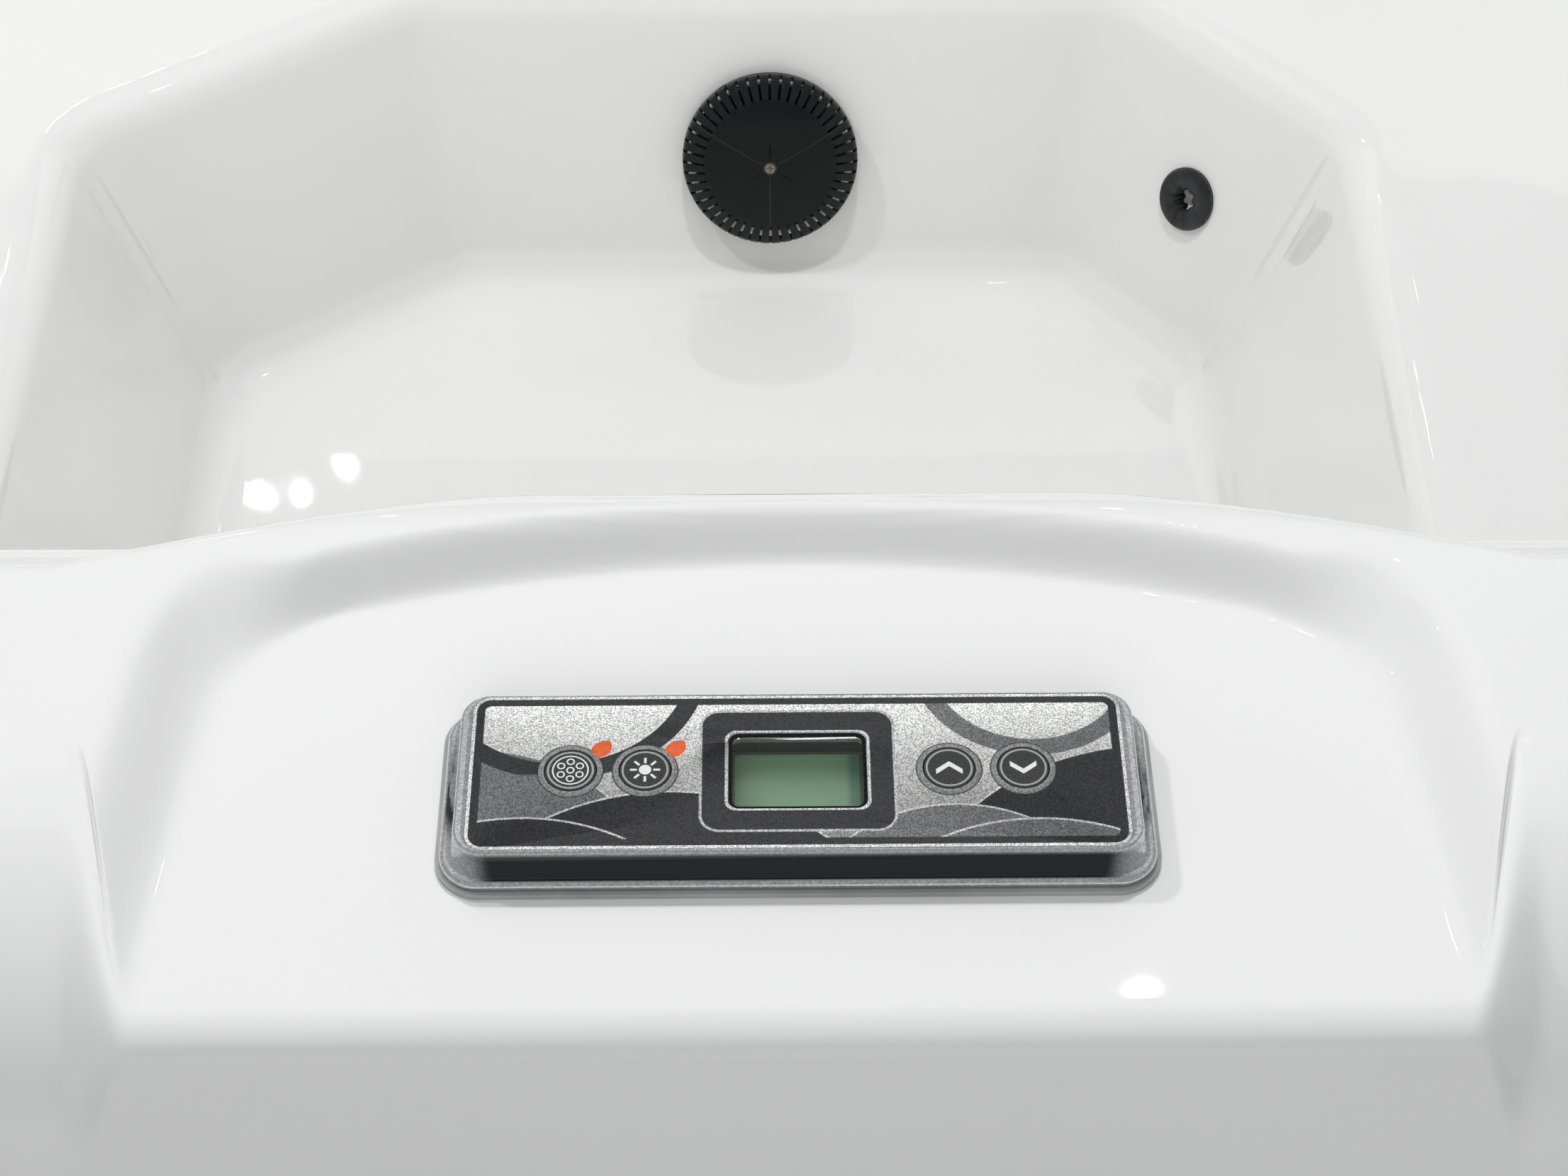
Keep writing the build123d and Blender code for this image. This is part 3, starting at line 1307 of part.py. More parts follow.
def motor_fins(grow):
    """Cooling fins along the motor can, or the room for them in its base."""
    with BuildPart() as fins:
        with BuildSketch(shaft_plane(ROTOR_X0 - 2 * VOLUTE_WALL - grow)):
            with PolarLocations(MOTOR_R, MOTOR_FINS, start_angle=180 / MOTOR_FINS):
                Rectangle(2 * (MOTOR_FIN_H + grow), MOTOR_FIN_T + 2 * grow)
            Circle(MOTOR_R - MOTOR_WALL / 2, mode=Mode.SUBTRACT)
        extrude(amount=ROTOR_X1 - ROTOR_X0 + 2 * VOLUTE_WALL + 2 * grow)
    return fins.part


def make_motor():
    """Finned motor can with a bearing wall at each end."""
    inner_r = MOTOR_R - MOTOR_WALL
    fins = motor_fins(0.0)
    slots = motor_fins(LOOSE_GAP)
    with BuildPart() as motor:
        with BuildSketch(shaft_plane(VOLUTE_X1)):
            Circle(MOTOR_R)
        extrude(amount=MOTOR_X1 - VOLUTE_X1)
        add(fins)
        with BuildSketch(shaft_plane(VOLUTE_X1 + VOLUTE_WALL)):
            Circle(inner_r)
        extrude(amount=MOTOR_X1 - VOLUTE_X1 - 2 * VOLUTE_WALL, mode=Mode.SUBTRACT)
        with BuildSketch(shaft_plane(VOLUTE_X1)):
            Circle(SHAFT_R + RUNNING_GAP)
        extrude(amount=MOTOR_X1 - VOLUTE_X1 - VOLUTE_WALL / 2, mode=Mode.SUBTRACT)
    keep(motor, "pump_motor")
    saddle = sleeve_points(MOTOR_R, 0, 0, PUMP_BASE_X1 - PUMP_BASE_X0 + 2 * OVERSHOOT)
    foot = turned(shaft_plane(PUMP_BASE_X0 - OVERSHOOT), saddle)
    with BuildPart() as base:
        with BuildSketch(Plane(origin=((PUMP_BASE_X0 + PUMP_BASE_X1) / 2, PUMP_Y, PAN_T))):
            Rectangle(PUMP_BASE_X1 - PUMP_BASE_X0, 2 * PUMP_BASE_HALF)
        extrude(amount=PUMP_Z - MOTOR_R - PAN_T + VOLUTE_WALL, taper=8)
        add(foot, mode=Mode.SUBTRACT)
        add(slots, mode=Mode.SUBTRACT)
    keep(base, "pump_base")


def make_rotor():
    """Shaft with the impeller at one end and the motor's rotor on it."""
    start = VOLUTE_X0 + VOLUTE_WALL + IMPELLER_T
    with BuildPart() as rotor:
        with BuildSketch(shaft_plane(start)):
            Circle(SHAFT_R)
        extrude(amount=MOTOR_X1 - VOLUTE_WALL / 2 - LOOSE_GAP - start)
        with BuildSketch(shaft_plane(start + VANE_H)):
            Circle(IMPELLER_R)
        extrude(amount=IMPELLER_T)
        with BuildSketch(shaft_plane(start)):
            with PolarLocations(IMPELLER_R / 2, VANES):
                Rectangle(IMPELLER_R - SHAFT_R, VANE_T, rotation=20)
            Circle(2 * SHAFT_R)
        extrude(amount=VANE_H)
        with BuildSketch(shaft_plane(ROTOR_X0)):
            Circle(ROTOR_R)
        extrude(amount=ROTOR_X1 - ROTOR_X0)
    keep(rotor, "pump_rotor")


def make_control_box():
    """Control box between two posts, with the heater hung under it."""
    back_y = -WIDTH / 2 + RAIL_IN
    middle_y = back_y + BOX_DEPTH / 2
    with BuildPart() as box:
        with BuildSketch(Plane(origin=(0, middle_y, BOX_Z0))):
            Rectangle(2 * BOX_HALF, BOX_DEPTH)
        extrude(amount=BOX_Z1 - BOX_Z0)
        fillet(box.edges().filter_by(Axis.Y), BOX_R)
        with BuildSketch(Plane(origin=(0, middle_y, BOX_Z0 + BOX_LID_T))):
            Rectangle(2 * BOX_HALF - 2 * BOX_LID_T, BOX_DEPTH - 2 * BOX_LID_T)
        extrude(amount=BOX_Z1 - BOX_Z0 - 2 * BOX_LID_T, mode=Mode.SUBTRACT)
    keep(box, "control_box")
    axis = Plane(origin=(-HEATER_HALF, OUTLET_Y, HEATER_Z), x_dir=(0, 1, 0), z_dir=(1, 0, 0))
    end = 2 * HEATER_HALF
    profile = [
        (PIPE_BORE_R, -HEATER_COLLAR_T),
        (HEATER_COLLAR_R, -HEATER_COLLAR_T),
        (HEATER_COLLAR_R, 0),
        (HEATER_R, 0),
        (HEATER_R, end),
        (HEATER_COLLAR_R, end),
        (HEATER_COLLAR_R, end + HEATER_COLLAR_T),
        (PIPE_BORE_R, end + HEATER_COLLAR_T),
        (PIPE_BORE_R, end),
        (HEATER_R - HEATER_WALL, end),
        (HEATER_R - HEATER_WALL, 0),
        (PIPE_BORE_R, 0),
    ]
    blank = turned(axis, profile)
    bore = turned(axis, sleeve_points(HEATER_R - HEATER_WALL, 0, 0, end))
    with BuildPart() as heater:
        with BuildSketch(Plane(origin=(0, OUTLET_Y, HEATER_Z))):
            with Locations((-HEATER_FOOT_X, 0), (HEATER_FOOT_X, 0)):
                Rectangle(HEATER_FOOT_W, HEATER_FOOT_W)
        extrude(amount=BOX_Z0 - HEATER_Z)
        add(bore, mode=Mode.SUBTRACT)
        add(blank)
    keep(heater, "heater_tube")


def make_pipes():
    """Rigid pipes: from the suction to the pump, on to the heater and jets, and back."""
    heater_end = HEATER_HALF + HEATER_COLLAR_T
    suction_end = SUCTION.origin - SUCTION.z_dir * SUCTION_DEPTH
    knee = suction_end - SUCTION.z_dir * SUCTION_RUN
    suction_route = [
        tuple(suction_end),
        tuple(knee),
        (knee.X, knee.Y, UNDER_Z),
        (knee.X, PUMP_Y, UNDER_Z),
        (PUMP_RAMP_X0, PUMP_Y, UNDER_Z),
        (PUMP_RAMP_X1, PUMP_Y, PUMP_Z),
        (PUMP_PORT_X, PUMP_Y, PUMP_Z),
    ]
    suction = pipe_run(suction_route, PIPE_R, PIPE_BORE_R, SUCTION_BEND_R)
    with BuildPart() as suction_pipe:
        add(suction)
    keep(suction_pipe, "suction_pipe")
    ring_route = [
        (OUTLET_X, OUTLET_Y, OUTLET_TOP),
        (OUTLET_X, OUTLET_Y, RING_Z),
        (RING_X, OUTLET_Y, RING_Z),
        (RING_X, RING_Y, RING_Z),
        (-RING_X, RING_Y, RING_Z),
        (-RING_X, RING_END_Y, RING_Z),
    ]
    ring = pipe_run(ring_route, RING_R, RING_BORE_R, RING_BEND_R)
    branch = Plane(origin=(OUTLET_X, OUTLET_Y, HEATER_Z), x_dir=(0, 1, 0), z_dir=(-1, 0, 0))
    with BuildPart() as jet_pipe:
        add(ring)
        with BuildSketch(branch):
            Circle(PIPE_R)
        extrude(amount=OUTLET_X - heater_end)
        with BuildSketch(branch):
            Circle(RING_BORE_R)
        extrude(amount=OUTLET_X - heater_end, mode=Mode.SUBTRACT)
        with BuildSketch(Plane(origin=(OUTLET_X, OUTLET_Y, OUTLET_TOP))):
            Circle(RING_BORE_R)
        extrude(amount=HEATER_Z - OUTLET_TOP, mode=Mode.SUBTRACT)
        with BuildSketch(Plane(origin=(-RING_X, RING_END_Y, RING_Z), z_dir=(0, -1, 0))):
            Circle(RING_R + RING_CAP_T)
        extrude(amount=RING_R)
    keep(jet_pipe, "jet_pipe")
    back = RETURN.origin - RETURN.z_dir * RETURN_DEPTH
    approach = back - RETURN.z_dir * RETURN_RUN
    return_route = [
        (-heater_end, OUTLET_Y, HEATER_Z),
        (RETURN_LEFT_X, OUTLET_Y, HEATER_Z),
        (RETURN_LEFT_X, OUTLET_Y, UNDER_Z),
        (RETURN_LEFT_X, RETURN_FAR_Y, UNDER_Z),
        (approach.X, RETURN_FAR_Y, UNDER_Z),
        tuple(approach),
        tuple(back),
    ]
    line = pipe_run(return_route, PIPE_R, PIPE_BORE_R, PIPE_BEND_R)
    with BuildPart() as return_pipe:
        add(line)
    keep(return_pipe, "return_pipe")


os.makedirs("parts", exist_ok=True)
make_shell()
make_base_pan()
make_bearers()
make_seat_legs()
make_frame()
make_skirt()
make_panel_gasket()
make_panel_housing()
make_panel_overlay()
make_panel_face()
make_panel_inside()
for key_name, key_x in zip(("button_jets", "button_light", "button_up", "button_down"), KEY_XS):
    make_key(key_name, key_x)
make_suction_cover()
make_suction_body()
make_return_fitting()
make_light()
make_jets()
make_air_controls()
make_filter()
make_wet_end()
make_motor()
make_rotor()
make_control_box()
make_pipes()
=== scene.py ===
import json
import math

import bmesh
import bpy
import numpy as np
from mathutils import Matrix, Vector

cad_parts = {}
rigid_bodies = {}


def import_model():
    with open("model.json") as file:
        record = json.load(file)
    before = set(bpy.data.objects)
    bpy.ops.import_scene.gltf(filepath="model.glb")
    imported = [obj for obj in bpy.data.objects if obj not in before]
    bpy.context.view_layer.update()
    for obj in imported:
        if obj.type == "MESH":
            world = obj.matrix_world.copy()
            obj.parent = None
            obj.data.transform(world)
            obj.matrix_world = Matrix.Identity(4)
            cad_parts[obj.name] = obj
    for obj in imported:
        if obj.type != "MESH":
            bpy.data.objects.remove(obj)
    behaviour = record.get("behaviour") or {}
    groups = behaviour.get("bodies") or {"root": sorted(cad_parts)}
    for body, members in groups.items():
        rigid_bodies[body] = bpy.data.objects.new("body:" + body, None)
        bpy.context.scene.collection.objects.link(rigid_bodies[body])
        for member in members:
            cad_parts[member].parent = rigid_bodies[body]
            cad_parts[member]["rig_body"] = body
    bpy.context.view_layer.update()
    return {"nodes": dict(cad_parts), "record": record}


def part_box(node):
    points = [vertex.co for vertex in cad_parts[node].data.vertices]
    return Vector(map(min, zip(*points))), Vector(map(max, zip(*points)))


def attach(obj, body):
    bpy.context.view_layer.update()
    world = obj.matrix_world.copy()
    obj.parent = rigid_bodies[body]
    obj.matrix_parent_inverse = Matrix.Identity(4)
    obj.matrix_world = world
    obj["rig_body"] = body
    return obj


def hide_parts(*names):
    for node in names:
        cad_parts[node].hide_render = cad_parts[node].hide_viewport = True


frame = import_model()
bpy.ops.object.select_all(action="DESELECT")

# Sizes of the moulded tub, in metres, the same as in the CAD source
HALF_X = 1.0
HALF_Y = 0.95
RIM_TOP = 0.882
CORNER_R = 0.15
SKIN = 0.007
LIP_R = 0.07
LIP_BOTTOM = 0.806
RIM_WIDTH = 0.154
RIM_EDGE_R = 0.022
BASIN_DRAFT = math.radians(9.5)
BASIN_CUT = 0.15
BASIN_CORNER_R = 0.14
SEAT_Z = 0.25
SEAT_R = 0.05
FLOOR_Z = 0.07
FLOOR_R = 0.035
LEDGE_R = 0.03
FOOTWELL_DRAFT = math.radians(22.0)
FOOTWELL_CORNER_R = 0.045
FOOTWELL = [
    (-0.240, -0.520), (0.190, -0.520), (0.272, -0.440), (0.272, 0.076),
    (0.188, 0.173), (-0.204, 0.173), (-0.352, 0.073), (-0.352, -0.430),
]
FOOTWELL_MIDDLE = np.array([-0.04, -0.175])
BOWL_X = 0.58
BOWL_Y = 0.53
BOWL_PROFILE = [(0.0, 0.212), (0.06, 0.212), (0.215, 0.34), (0.15, 0.72)]
BOWL_SOFTNESS = 0.03
BOWL_DEEPEST = 0.2
BOWL_PRESS_FROM = np.array([0.0, -0.02, 0.65])
TUB_MIDDLE = np.array([0.0, -0.02, 0.3])
RIM_LEVEL = 0.8

# Control recess in the near rim
PLATFORM_DROP = 0.012
RECESS_HALF_FRONT = 0.146
RECESS_HALF_BACK = 0.131
RECESS_SIDE_Y = -0.834
RECESS_BACK_Y = -0.8115
RECESS_CORNER_R = 0.04
WALL_AT_BACK = 0.011
WALL_AT_SIDES = 0.021
FOOT_AT_BACK = 0.006
FOOT_AT_SIDES = 0.002
RIDGE_Y = -0.803
RIDGE_BEND = 0.84
RIDGE_DROP = 0.018
RIDGE_END_Y = -0.828
RIDGE_SLOPE = 0.016
SHELF_EDGE_R = 0.009
FLAT_X = 0.26
NEAR_RECESS_X = 0.22
NEAR_RECESS_Y = -0.77

# Suction cover, where it meets the footwell's far wall
SUCTION_MIDDLE = (-0.003, 0.2045, 0.148)

# Control panel
PANEL_X = -0.0004
PANEL_Y = -0.8883
PANEL_FACE = (PANEL_X, PANEL_Y, 0.88)
PANEL_UNDER = (PANEL_X, PANEL_Y, 0.87)
PANEL_HOLE_HALF = (0.074, 0.0225)
KEYS = {"button_jets": -0.0496, "button_light": -0.0333, "button_up": 0.0331, "button_down": 0.0493}


class Value:
    """A number, colour or vector inside a finish; sums on it add their own nodes."""

    def __init__(self, finish, socket):
        self.finish = finish
        self.socket = socket

    def math(self, operation, *others):
        return self.finish.node("ShaderNodeMath", {"operation": operation}, [self, *others])

    def __add__(self, other):
        return self.math("ADD", other)

    __radd__ = __add__

    def __mul__(self, other):
        return self.math("MULTIPLY", other)

    __rmul__ = __mul__

    def __sub__(self, other):
        return self.math("SUBTRACT", other)

    def __rsub__(self, other):
        return self.finish.node("ShaderNodeMath", {"operation": "SUBTRACT"}, [other, self])

    def __truediv__(self, other):
        return self.math("DIVIDE", other)

    def __abs__(self):
        return self.math("ABSOLUTE")

    def least(self, other):
        return self.math("MINIMUM", other)

    def most(self, other):
        return self.math("MAXIMUM", other)

    def root(self):
        return self.math("SQRT")

    def below(self, edge, soft=0.06):
        """1 where the value is under an edge, 0 over it, with a soft step."""
        return self.finish.node(
            "ShaderNodeMapRange", {"interpolation_type": "SMOOTHSTEP"},
            [self, edge - soft, edge + soft, 1.0, 0.0],
        )


class Finish:
    """One surface finish: its Principled shader and the nodes that feed it."""

    def __init__(self, name, color, roughness, **fixed):
        self.material = bpy.data.materials.new(name)
        self.material.use_nodes = True
        self.tree = self.material.node_tree
        self.shader = self.tree.nodes["Principled BSDF"]
        self.material.diffuse_color = (*color, 1.0)
        self.set("Base Color", (*color, 1.0))
        self.set("Roughness", roughness)
        for socket, value in fixed.items():
            self.set(socket.replace("_", " "), value)

    def set(self, socket, value):
        if isinstance(value, Value):
            self.tree.links.new(value.socket, self.shader.inputs[socket])
        else:
            self.shader.inputs[socket].default_value = value

    def node(self, kind, settings, inputs=(), output=0):
        """Any node: its settings first, then the values or links of its sockets."""
        node = self.tree.nodes.new(kind)
        for name, value in settings.items():
            if name == "stops":
                ramp = node.color_ramp
                while len(ramp.elements) < len(value):
                    ramp.elements.new(0.5)
                for element, (place, color) in zip(ramp.elements, value):
                    element.position = place
                    element.color = (*color, 1.0)
            else:
                setattr(node, name, value)
        pairs = inputs.items() if isinstance(inputs, dict) else enumerate(inputs)
        for name, value in pairs:
            if isinstance(value, Value):
                self.tree.links.new(value.socket, node.inputs[name])
            elif value is not None:
                node.inputs[name].default_value = value
        return Value(self, node.outputs[output])

    def place(self, middle=(0, 0, 0), scale=1000.0):
        """Position on the piece about a middle point, in millimetres by default."""
        objects = self.node("ShaderNodeTexCoord", {}, output="Object")
        moved = self.node("ShaderNodeVectorMath", {"operation": "SUBTRACT"}, [objects, middle])
        return self.node("ShaderNodeVectorMath", {"operation": "SCALE"}, {0: moved, "Scale": scale})

    def parts(self, vector):
        """The three numbers of a vector."""
        first = self.node("ShaderNodeSeparateXYZ", {}, [vector])
        node = first.socket.node
        return first, Value(self, node.outputs[1]), Value(self, node.outputs[2])

    def noise(self, vector, scale, detail=2.0, rough=0.5):
        values = {"Vector": vector, "Scale": scale, "Detail": detail, "Roughness": rough}
        return self.node("ShaderNodeTexNoise", {}, values)

    def mix(self, mask, first, second, blend="MIX"):
        """Colour that goes from the first to the second as the mask rises."""
        first, second = (c if isinstance(c, Value) else (*c, 1.0) for c in (first, second))
        settings = {"data_type": "RGBA", "blend_type": blend}
        return self.node("ShaderNodeMix", settings, {0: mask, 6: first, 7: second}, output=2)

    def ramp(self, value, *stops):
        return self.node("ShaderNodeValToRGB", {"stops": stops}, [value])

    def bump(self, height, strength, distance):
        values = {"Height": height, "Strength": strength, "Distance": distance}
        self.set("Normal", self.node("ShaderNodeBump", {}, values))


def distance(x, y):
    """Length of a flat vector."""
    return (x * x + y * y).root()


def rounded_box(x, y, half_x, half_y, corner):
    """Signed distance to a rounded rectangle, in the units of x and y."""
    over_x = abs(x) - (half_x - corner)
    over_y = abs(y) - (half_y - corner)
    outside = distance(over_x.most(0.0), over_y.most(0.0))
    return outside + over_x.most(over_y).least(0.0) - corner


# Finishes
def acrylic():
    """Glossy white moulded acrylic with a faint swell and slightly uneven tone and gloss."""
    gloss = {"Coat_Weight": 0.6, "Coat_Roughness": 0.03, "IOR": 1.49}
    f = Finish("white_acrylic", (0.90, 0.90, 0.89), 0.07, **gloss)
    p = f.place()
    tone = f.noise(p, 0.004, 3.0)
    f.set("Base Color", f.ramp(tone, (0.3, (0.885, 0.885, 0.875)), (0.7, (0.91, 0.912, 0.902))))
    f.set("Roughness", f.noise(p, 0.02, 4.0) * 0.04 + 0.012)
    f.bump(f.noise(p, 0.012, 1.0), 0.08, 0.002)
    return f.material


def moulded(name, color, roughness, grain=0.25, speck=0.12, **fixed):
    """Moulded plastic with a fine grain and slightly uneven gloss."""
    f = Finish(name, color, roughness, **fixed)
    p = f.place()
    shade = f.noise(p, 0.05, 3.0)
    low = tuple(c * (1 - speck) for c in color)
    high = tuple(min(1.0, c * (1 + speck)) for c in color)
    f.set("Base Color", f.ramp(shade, (0.35, low), (0.65, high)))
    f.set("Roughness", f.noise(p, 0.2, 2.0) * 0.16 + (roughness - 0.08))
    f.bump(f.noise(p, 2.2, 2.0), grain, 0.0001)
    return f.material


def boards(name, color):
    """Synthetic cabinet boards with a soft grain along their length."""
    f = Finish(name, color, 0.6)
    x, y, z = f.parts(f.place())
    along = f.node("ShaderNodeCombineXYZ", {}, [x * 0.25, y * 0.25, z * 0.006])
    grain = f.noise(along, 1.0, 6.0, 0.6)
    low = tuple(c * 0.78 for c in color)
    high = tuple(c * 1.2 for c in color)
    f.set("Base Color", f.ramp(grain, (0.3, low), (0.7, high)))
    f.set("Roughness", grain * 0.25 + 0.45)
    f.bump(grain, 0.35, 0.0006)
    return f.material


def timber():
    """Sawn softwood with long grain and darker year rings."""
    f = Finish("softwood", (0.62, 0.48, 0.32), 0.75)
    x, y, z = f.parts(f.place())
    across = f.node("ShaderNodeCombineXYZ", {}, [x * 0.05, y * 0.05, z * 0.01])
    rings = f.noise(across, 1.4, 5.0, 0.65)
    f.set("Base Color", f.ramp(
        rings, (0.32, (0.42, 0.29, 0.17)), (0.5, (0.63, 0.48, 0.31)), (0.7, (0.72, 0.58, 0.41)),
    ))
    f.set("Roughness", rings * 0.2 + 0.62)
    f.bump(rings, 0.4, 0.0005)
    return f.material


def metal(name, color, roughness, stretch=(0.4, 0.4, 0.4), **fixed):
    """Bright metal with fine brushed variation."""
    f = Finish(name, color, roughness, Metallic=1.0, **fixed)
    x, y, z = f.parts(f.place())
    along = f.node("ShaderNodeCombineXYZ", {}, [x * stretch[0], y * stretch[1], z * stretch[2]])
    lines = f.noise(along, 1.0, 5.0, 0.6)
    f.set("Roughness", lines * 0.18 + (roughness - 0.06))
    low = tuple(c * 0.9 for c in color)
    f.set("Base Color", f.ramp(lines, (0.35, low), (0.65, color)))
    return f.material


def plated_bezel():
    """Clear-edged bezel: pale metallic rim round a slope whose darkness is a painted reflection of dim
    surroundings, paled by painted highlights at the corners and painted glint streaks near its ends.
    """
    f = Finish("bezel_plastic", (0.7, 0.71, 0.71), 0.12, Coat_Weight=1.0, Coat_Roughness=0.03)
    x, y, z = f.parts(f.place(PANEL_UNDER))
    slope = 1 - rounded_box(x, y, 74.4, 21.9, 6.4).below(0.1, 0.12)
    inner = rounded_box(x, y, 78.0, 25.0, 8.0).below(-0.8, 0.25)
    # Painted highlight: the slope's darkness fades out towards its corners.
    corner = 1 - (abs(x) + abs(y) * 0.6).below(83.0, 3.5)
    beside = 1 - abs(x).below(73.0, 0.6)
    # Painted glints: bright streaks along the slope near its ends.
    streaks = f.node("ShaderNodeCombineXYZ", {}, [x * 0.9, y * 0.12, z * 0.9])
    painted_glints = f.noise(streaks, 1.0, 4.0, 0.6)
    painted_glints = f.ramp(painted_glints, (0.42, (0.0, 0.0, 0.0)), (0.6, (1.0, 1.0, 1.0)))
    # Painted reflection of dim surroundings on the slope, paled by the painted corner highlights and
    # glints.
    painted_dim_reflection = slope * inner * (1 - corner * 0.85) * (1 - beside * painted_glints * 0.55)
    fleck = f.noise(f.place(), 1.6, 3.0)
    pale = f.ramp(fleck, (0.35, (0.5, 0.51, 0.51)), (0.65, (0.78, 0.79, 0.79)))
    f.set("Base Color", f.mix(painted_dim_reflection, pale, (0.010, 0.011, 0.012)))
    f.set("Metallic", (1 - painted_dim_reflection) * 0.8)
    f.set("Coat Weight", 1 - painted_dim_reflection * 0.85)
    f.set("Roughness", fleck * 0.2 + 0.04)
    f.bump(f.noise(f.place(), 0.8, 2.0), 0.1, 0.0002)
    return f.material


def face_print():
    """Own printed design of the keypad: charcoal and grey hills on a silver sky."""
    f = Finish("keypad_print", (0.3, 0.3, 0.3), 0.32)
    place = f.place(PANEL_FACE)
    x, y, _ = f.parts(place)
    picture = f.ramp(
        y * 0.024 + 0.5, (0.0, (0.24, 0.24, 0.24)), (0.5, (0.5, 0.5, 0.49)), (1.0, (0.86, 0.86, 0.84)),
    )
    charcoal = (0.034, 0.034, 0.036)
    grey = (0.17, 0.17, 0.175)
    pale = (0.62, 0.62, 0.61)
    hills = [
        (-72.0, -36.0, 42.0, grey), (-28.0, -58.0, 52.0, charcoal), (78.0, -50.0, 56.0, charcoal),
        (34.0, -44.0, 34.0, grey), (-60.0, -60.0, 47.0, charcoal), (52.0, -62.0, 48.0, grey),
    ]
    for hill_x, hill_y, radius, tone in hills:
        far = distance(x - hill_x, y - hill_y)
        picture = f.mix(far.below(radius + 0.5, 0.1), picture, pale)
        picture = f.mix(far.below(radius, 0.1), picture, tone)
    for side, reach, tone in ((-1, 30.0, charcoal), (1, 24.0, grey)):
        far = distance(x - side * 52.0, y - 30.0)
        band = abs(far - reach).below(2.2, 0.1)
        picture = f.mix(band * (1 - y.below(-1.0, 0.5)), picture, tone)
    edge = rounded_box(x, y, 71.75, 21.15, 4.0)
    picture = f.mix(1 - edge.below(-2.6, 0.1), picture, charcoal)
    picture = f.mix(1 - edge.below(-0.75, 0.1), picture, (0.74, 0.74, 0.73))
    screen = rounded_box(x, y, 21.5, 16.9, 4.5)
    picture = f.mix(screen.below(0.0, 0.1), picture, (0.5, 0.5, 0.5))
    picture = f.mix(screen.below(-0.6, 0.1), picture, charcoal)
    window = rounded_box(x, y, 15.9, 11.1, 2.6)
    picture = f.mix(window.below(0.0, 0.08), picture, (0.6, 0.6, 0.6))
    for key_x in KEYS.values():
        far = distance(x - key_x * 1000, y)
        picture = f.mix(far.below(7.3, 0.1), picture, (0.035, 0.035, 0.037))
        picture = f.mix(far.below(7.05, 0.1), picture, (0.26, 0.26, 0.26))
    speck = f.noise(place, 3.6, 1.0)
    dust = f.ramp(speck, (0.38, (0.5, 0.5, 0.5)), (0.62, (1.55, 1.55, 1.55)))
    f.set("Base Color", f.mix(1.0, picture, dust, "MULTIPLY"))
    f.set("Roughness", speck * 0.3 + 0.2)
    f.bump(speck, 0.15, 0.00008)
    return f.material


def key_face(name, symbol):
    """Charcoal key with a pale rim and its own plain symbol."""
    f = Finish(name, (0.03, 0.03, 0.03), 0.3)
    place = f.place((PANEL_FACE[0] + KEYS[name], *PANEL_FACE[1:]))
    x, y, _ = f.parts(place)
    far = distance(x, y)
    speck = f.noise(place, 3.6, 1.0)
    ground = f.ramp(speck, (0.36, (0.018, 0.018, 0.018)), (0.64, (0.055, 0.055, 0.055)))
    ground = f.mix(1 - far.below(4.7, 0.1), ground, (0.42, 0.42, 0.42))
    ground = f.mix(1 - far.below(5.1, 0.1), ground, (0.05, 0.05, 0.05))
    mark = symbol(x, y, far)
    f.set("Base Color", f.mix(mark, ground, (0.85, 0.85, 0.84)))
    f.set("Roughness", speck * 0.3 + 0.15)
    f.bump(speck, 0.15, 0.00008)
    return f.material


def ring_of_drops(x, y, far):
    """Six small rings round a middle one."""
    mark = abs(far - 0.75).below(0.16, 0.06)
    for step in range(6):
        turn = math.radians(60 * step + 30)
        near = distance(x - 2.35 * math.cos(turn), y - 2.35 * math.sin(turn))
        mark = mark.most(abs(near - 0.75).below(0.16, 0.06))
    return mark.most(abs(far - 3.85).below(0.16, 0.06))


def sun(x, y, far):
    """Disc with eight rays."""
    mark = far.below(1.35, 0.06)
    for step in range(4):
        turn = math.radians(45 * step)
        across = abs(x * math.sin(turn) - y * math.cos(turn))
        ray = across.below(0.27, 0.06) * far.below(3.3, 0.08) * (1 - far.below(1.8, 0.08))
        mark = mark.most(ray)
    return mark


def chevron(way):
    """Arrow head that points up or down."""
    def mark(x, y, _):
        line = abs(y * way + abs(x) * 0.75 - 1.1).below(0.68, 0.06)
        return line * abs(x).below(2.9, 0.08)
    return mark


def display_glass():
    """Green liquid crystal display, lit in its middle and darker at one side."""
    f = Finish("display_green", (0.28, 0.5, 0.3), 0.3)
    x, y, _ = f.parts(f.place(PANEL_UNDER))
    base = f.ramp(
        x * 0.033 + 0.5, (0.0, (0.3, 0.5, 0.28)), (0.1, (0.42, 0.68, 0.42)),
        (0.86, (0.42, 0.68, 0.43)), (0.9, (0.2, 0.44, 0.31)),
    )
    lit = rounded_box(x, y - 1.3, 13.9, 9.9, 0.6)
    f.set("Base Color", f.mix(1 - lit.below(0.0, 0.2), base, (0.08, 0.15, 0.07)))
    f.set("Roughness", f.noise(f.place(), 0.5, 2.0) * 0.1 + 0.2)
    return f.material


def circuit():
    """Green circuit board with copper tracks under its lacquer."""
    f = Finish("circuit_board_green", (0.04, 0.2, 0.1), 0.35)
    tracks = f.node("ShaderNodeTexBrick", {"offset": 0.37}, {
        "Vector": f.place(), "Color1": (0.03, 0.17, 0.08, 1), "Color2": (0.04, 0.2, 0.1, 1),
        "Mortar": (0.12, 0.32, 0.14, 1), "Scale": 0.35, "Mortar Size": 0.06,
    })
    f.set("Base Color", tracks)
    f.set("Roughness", f.noise(f.place(), 0.6, 2.0) * 0.2 + 0.25)
    return f.material


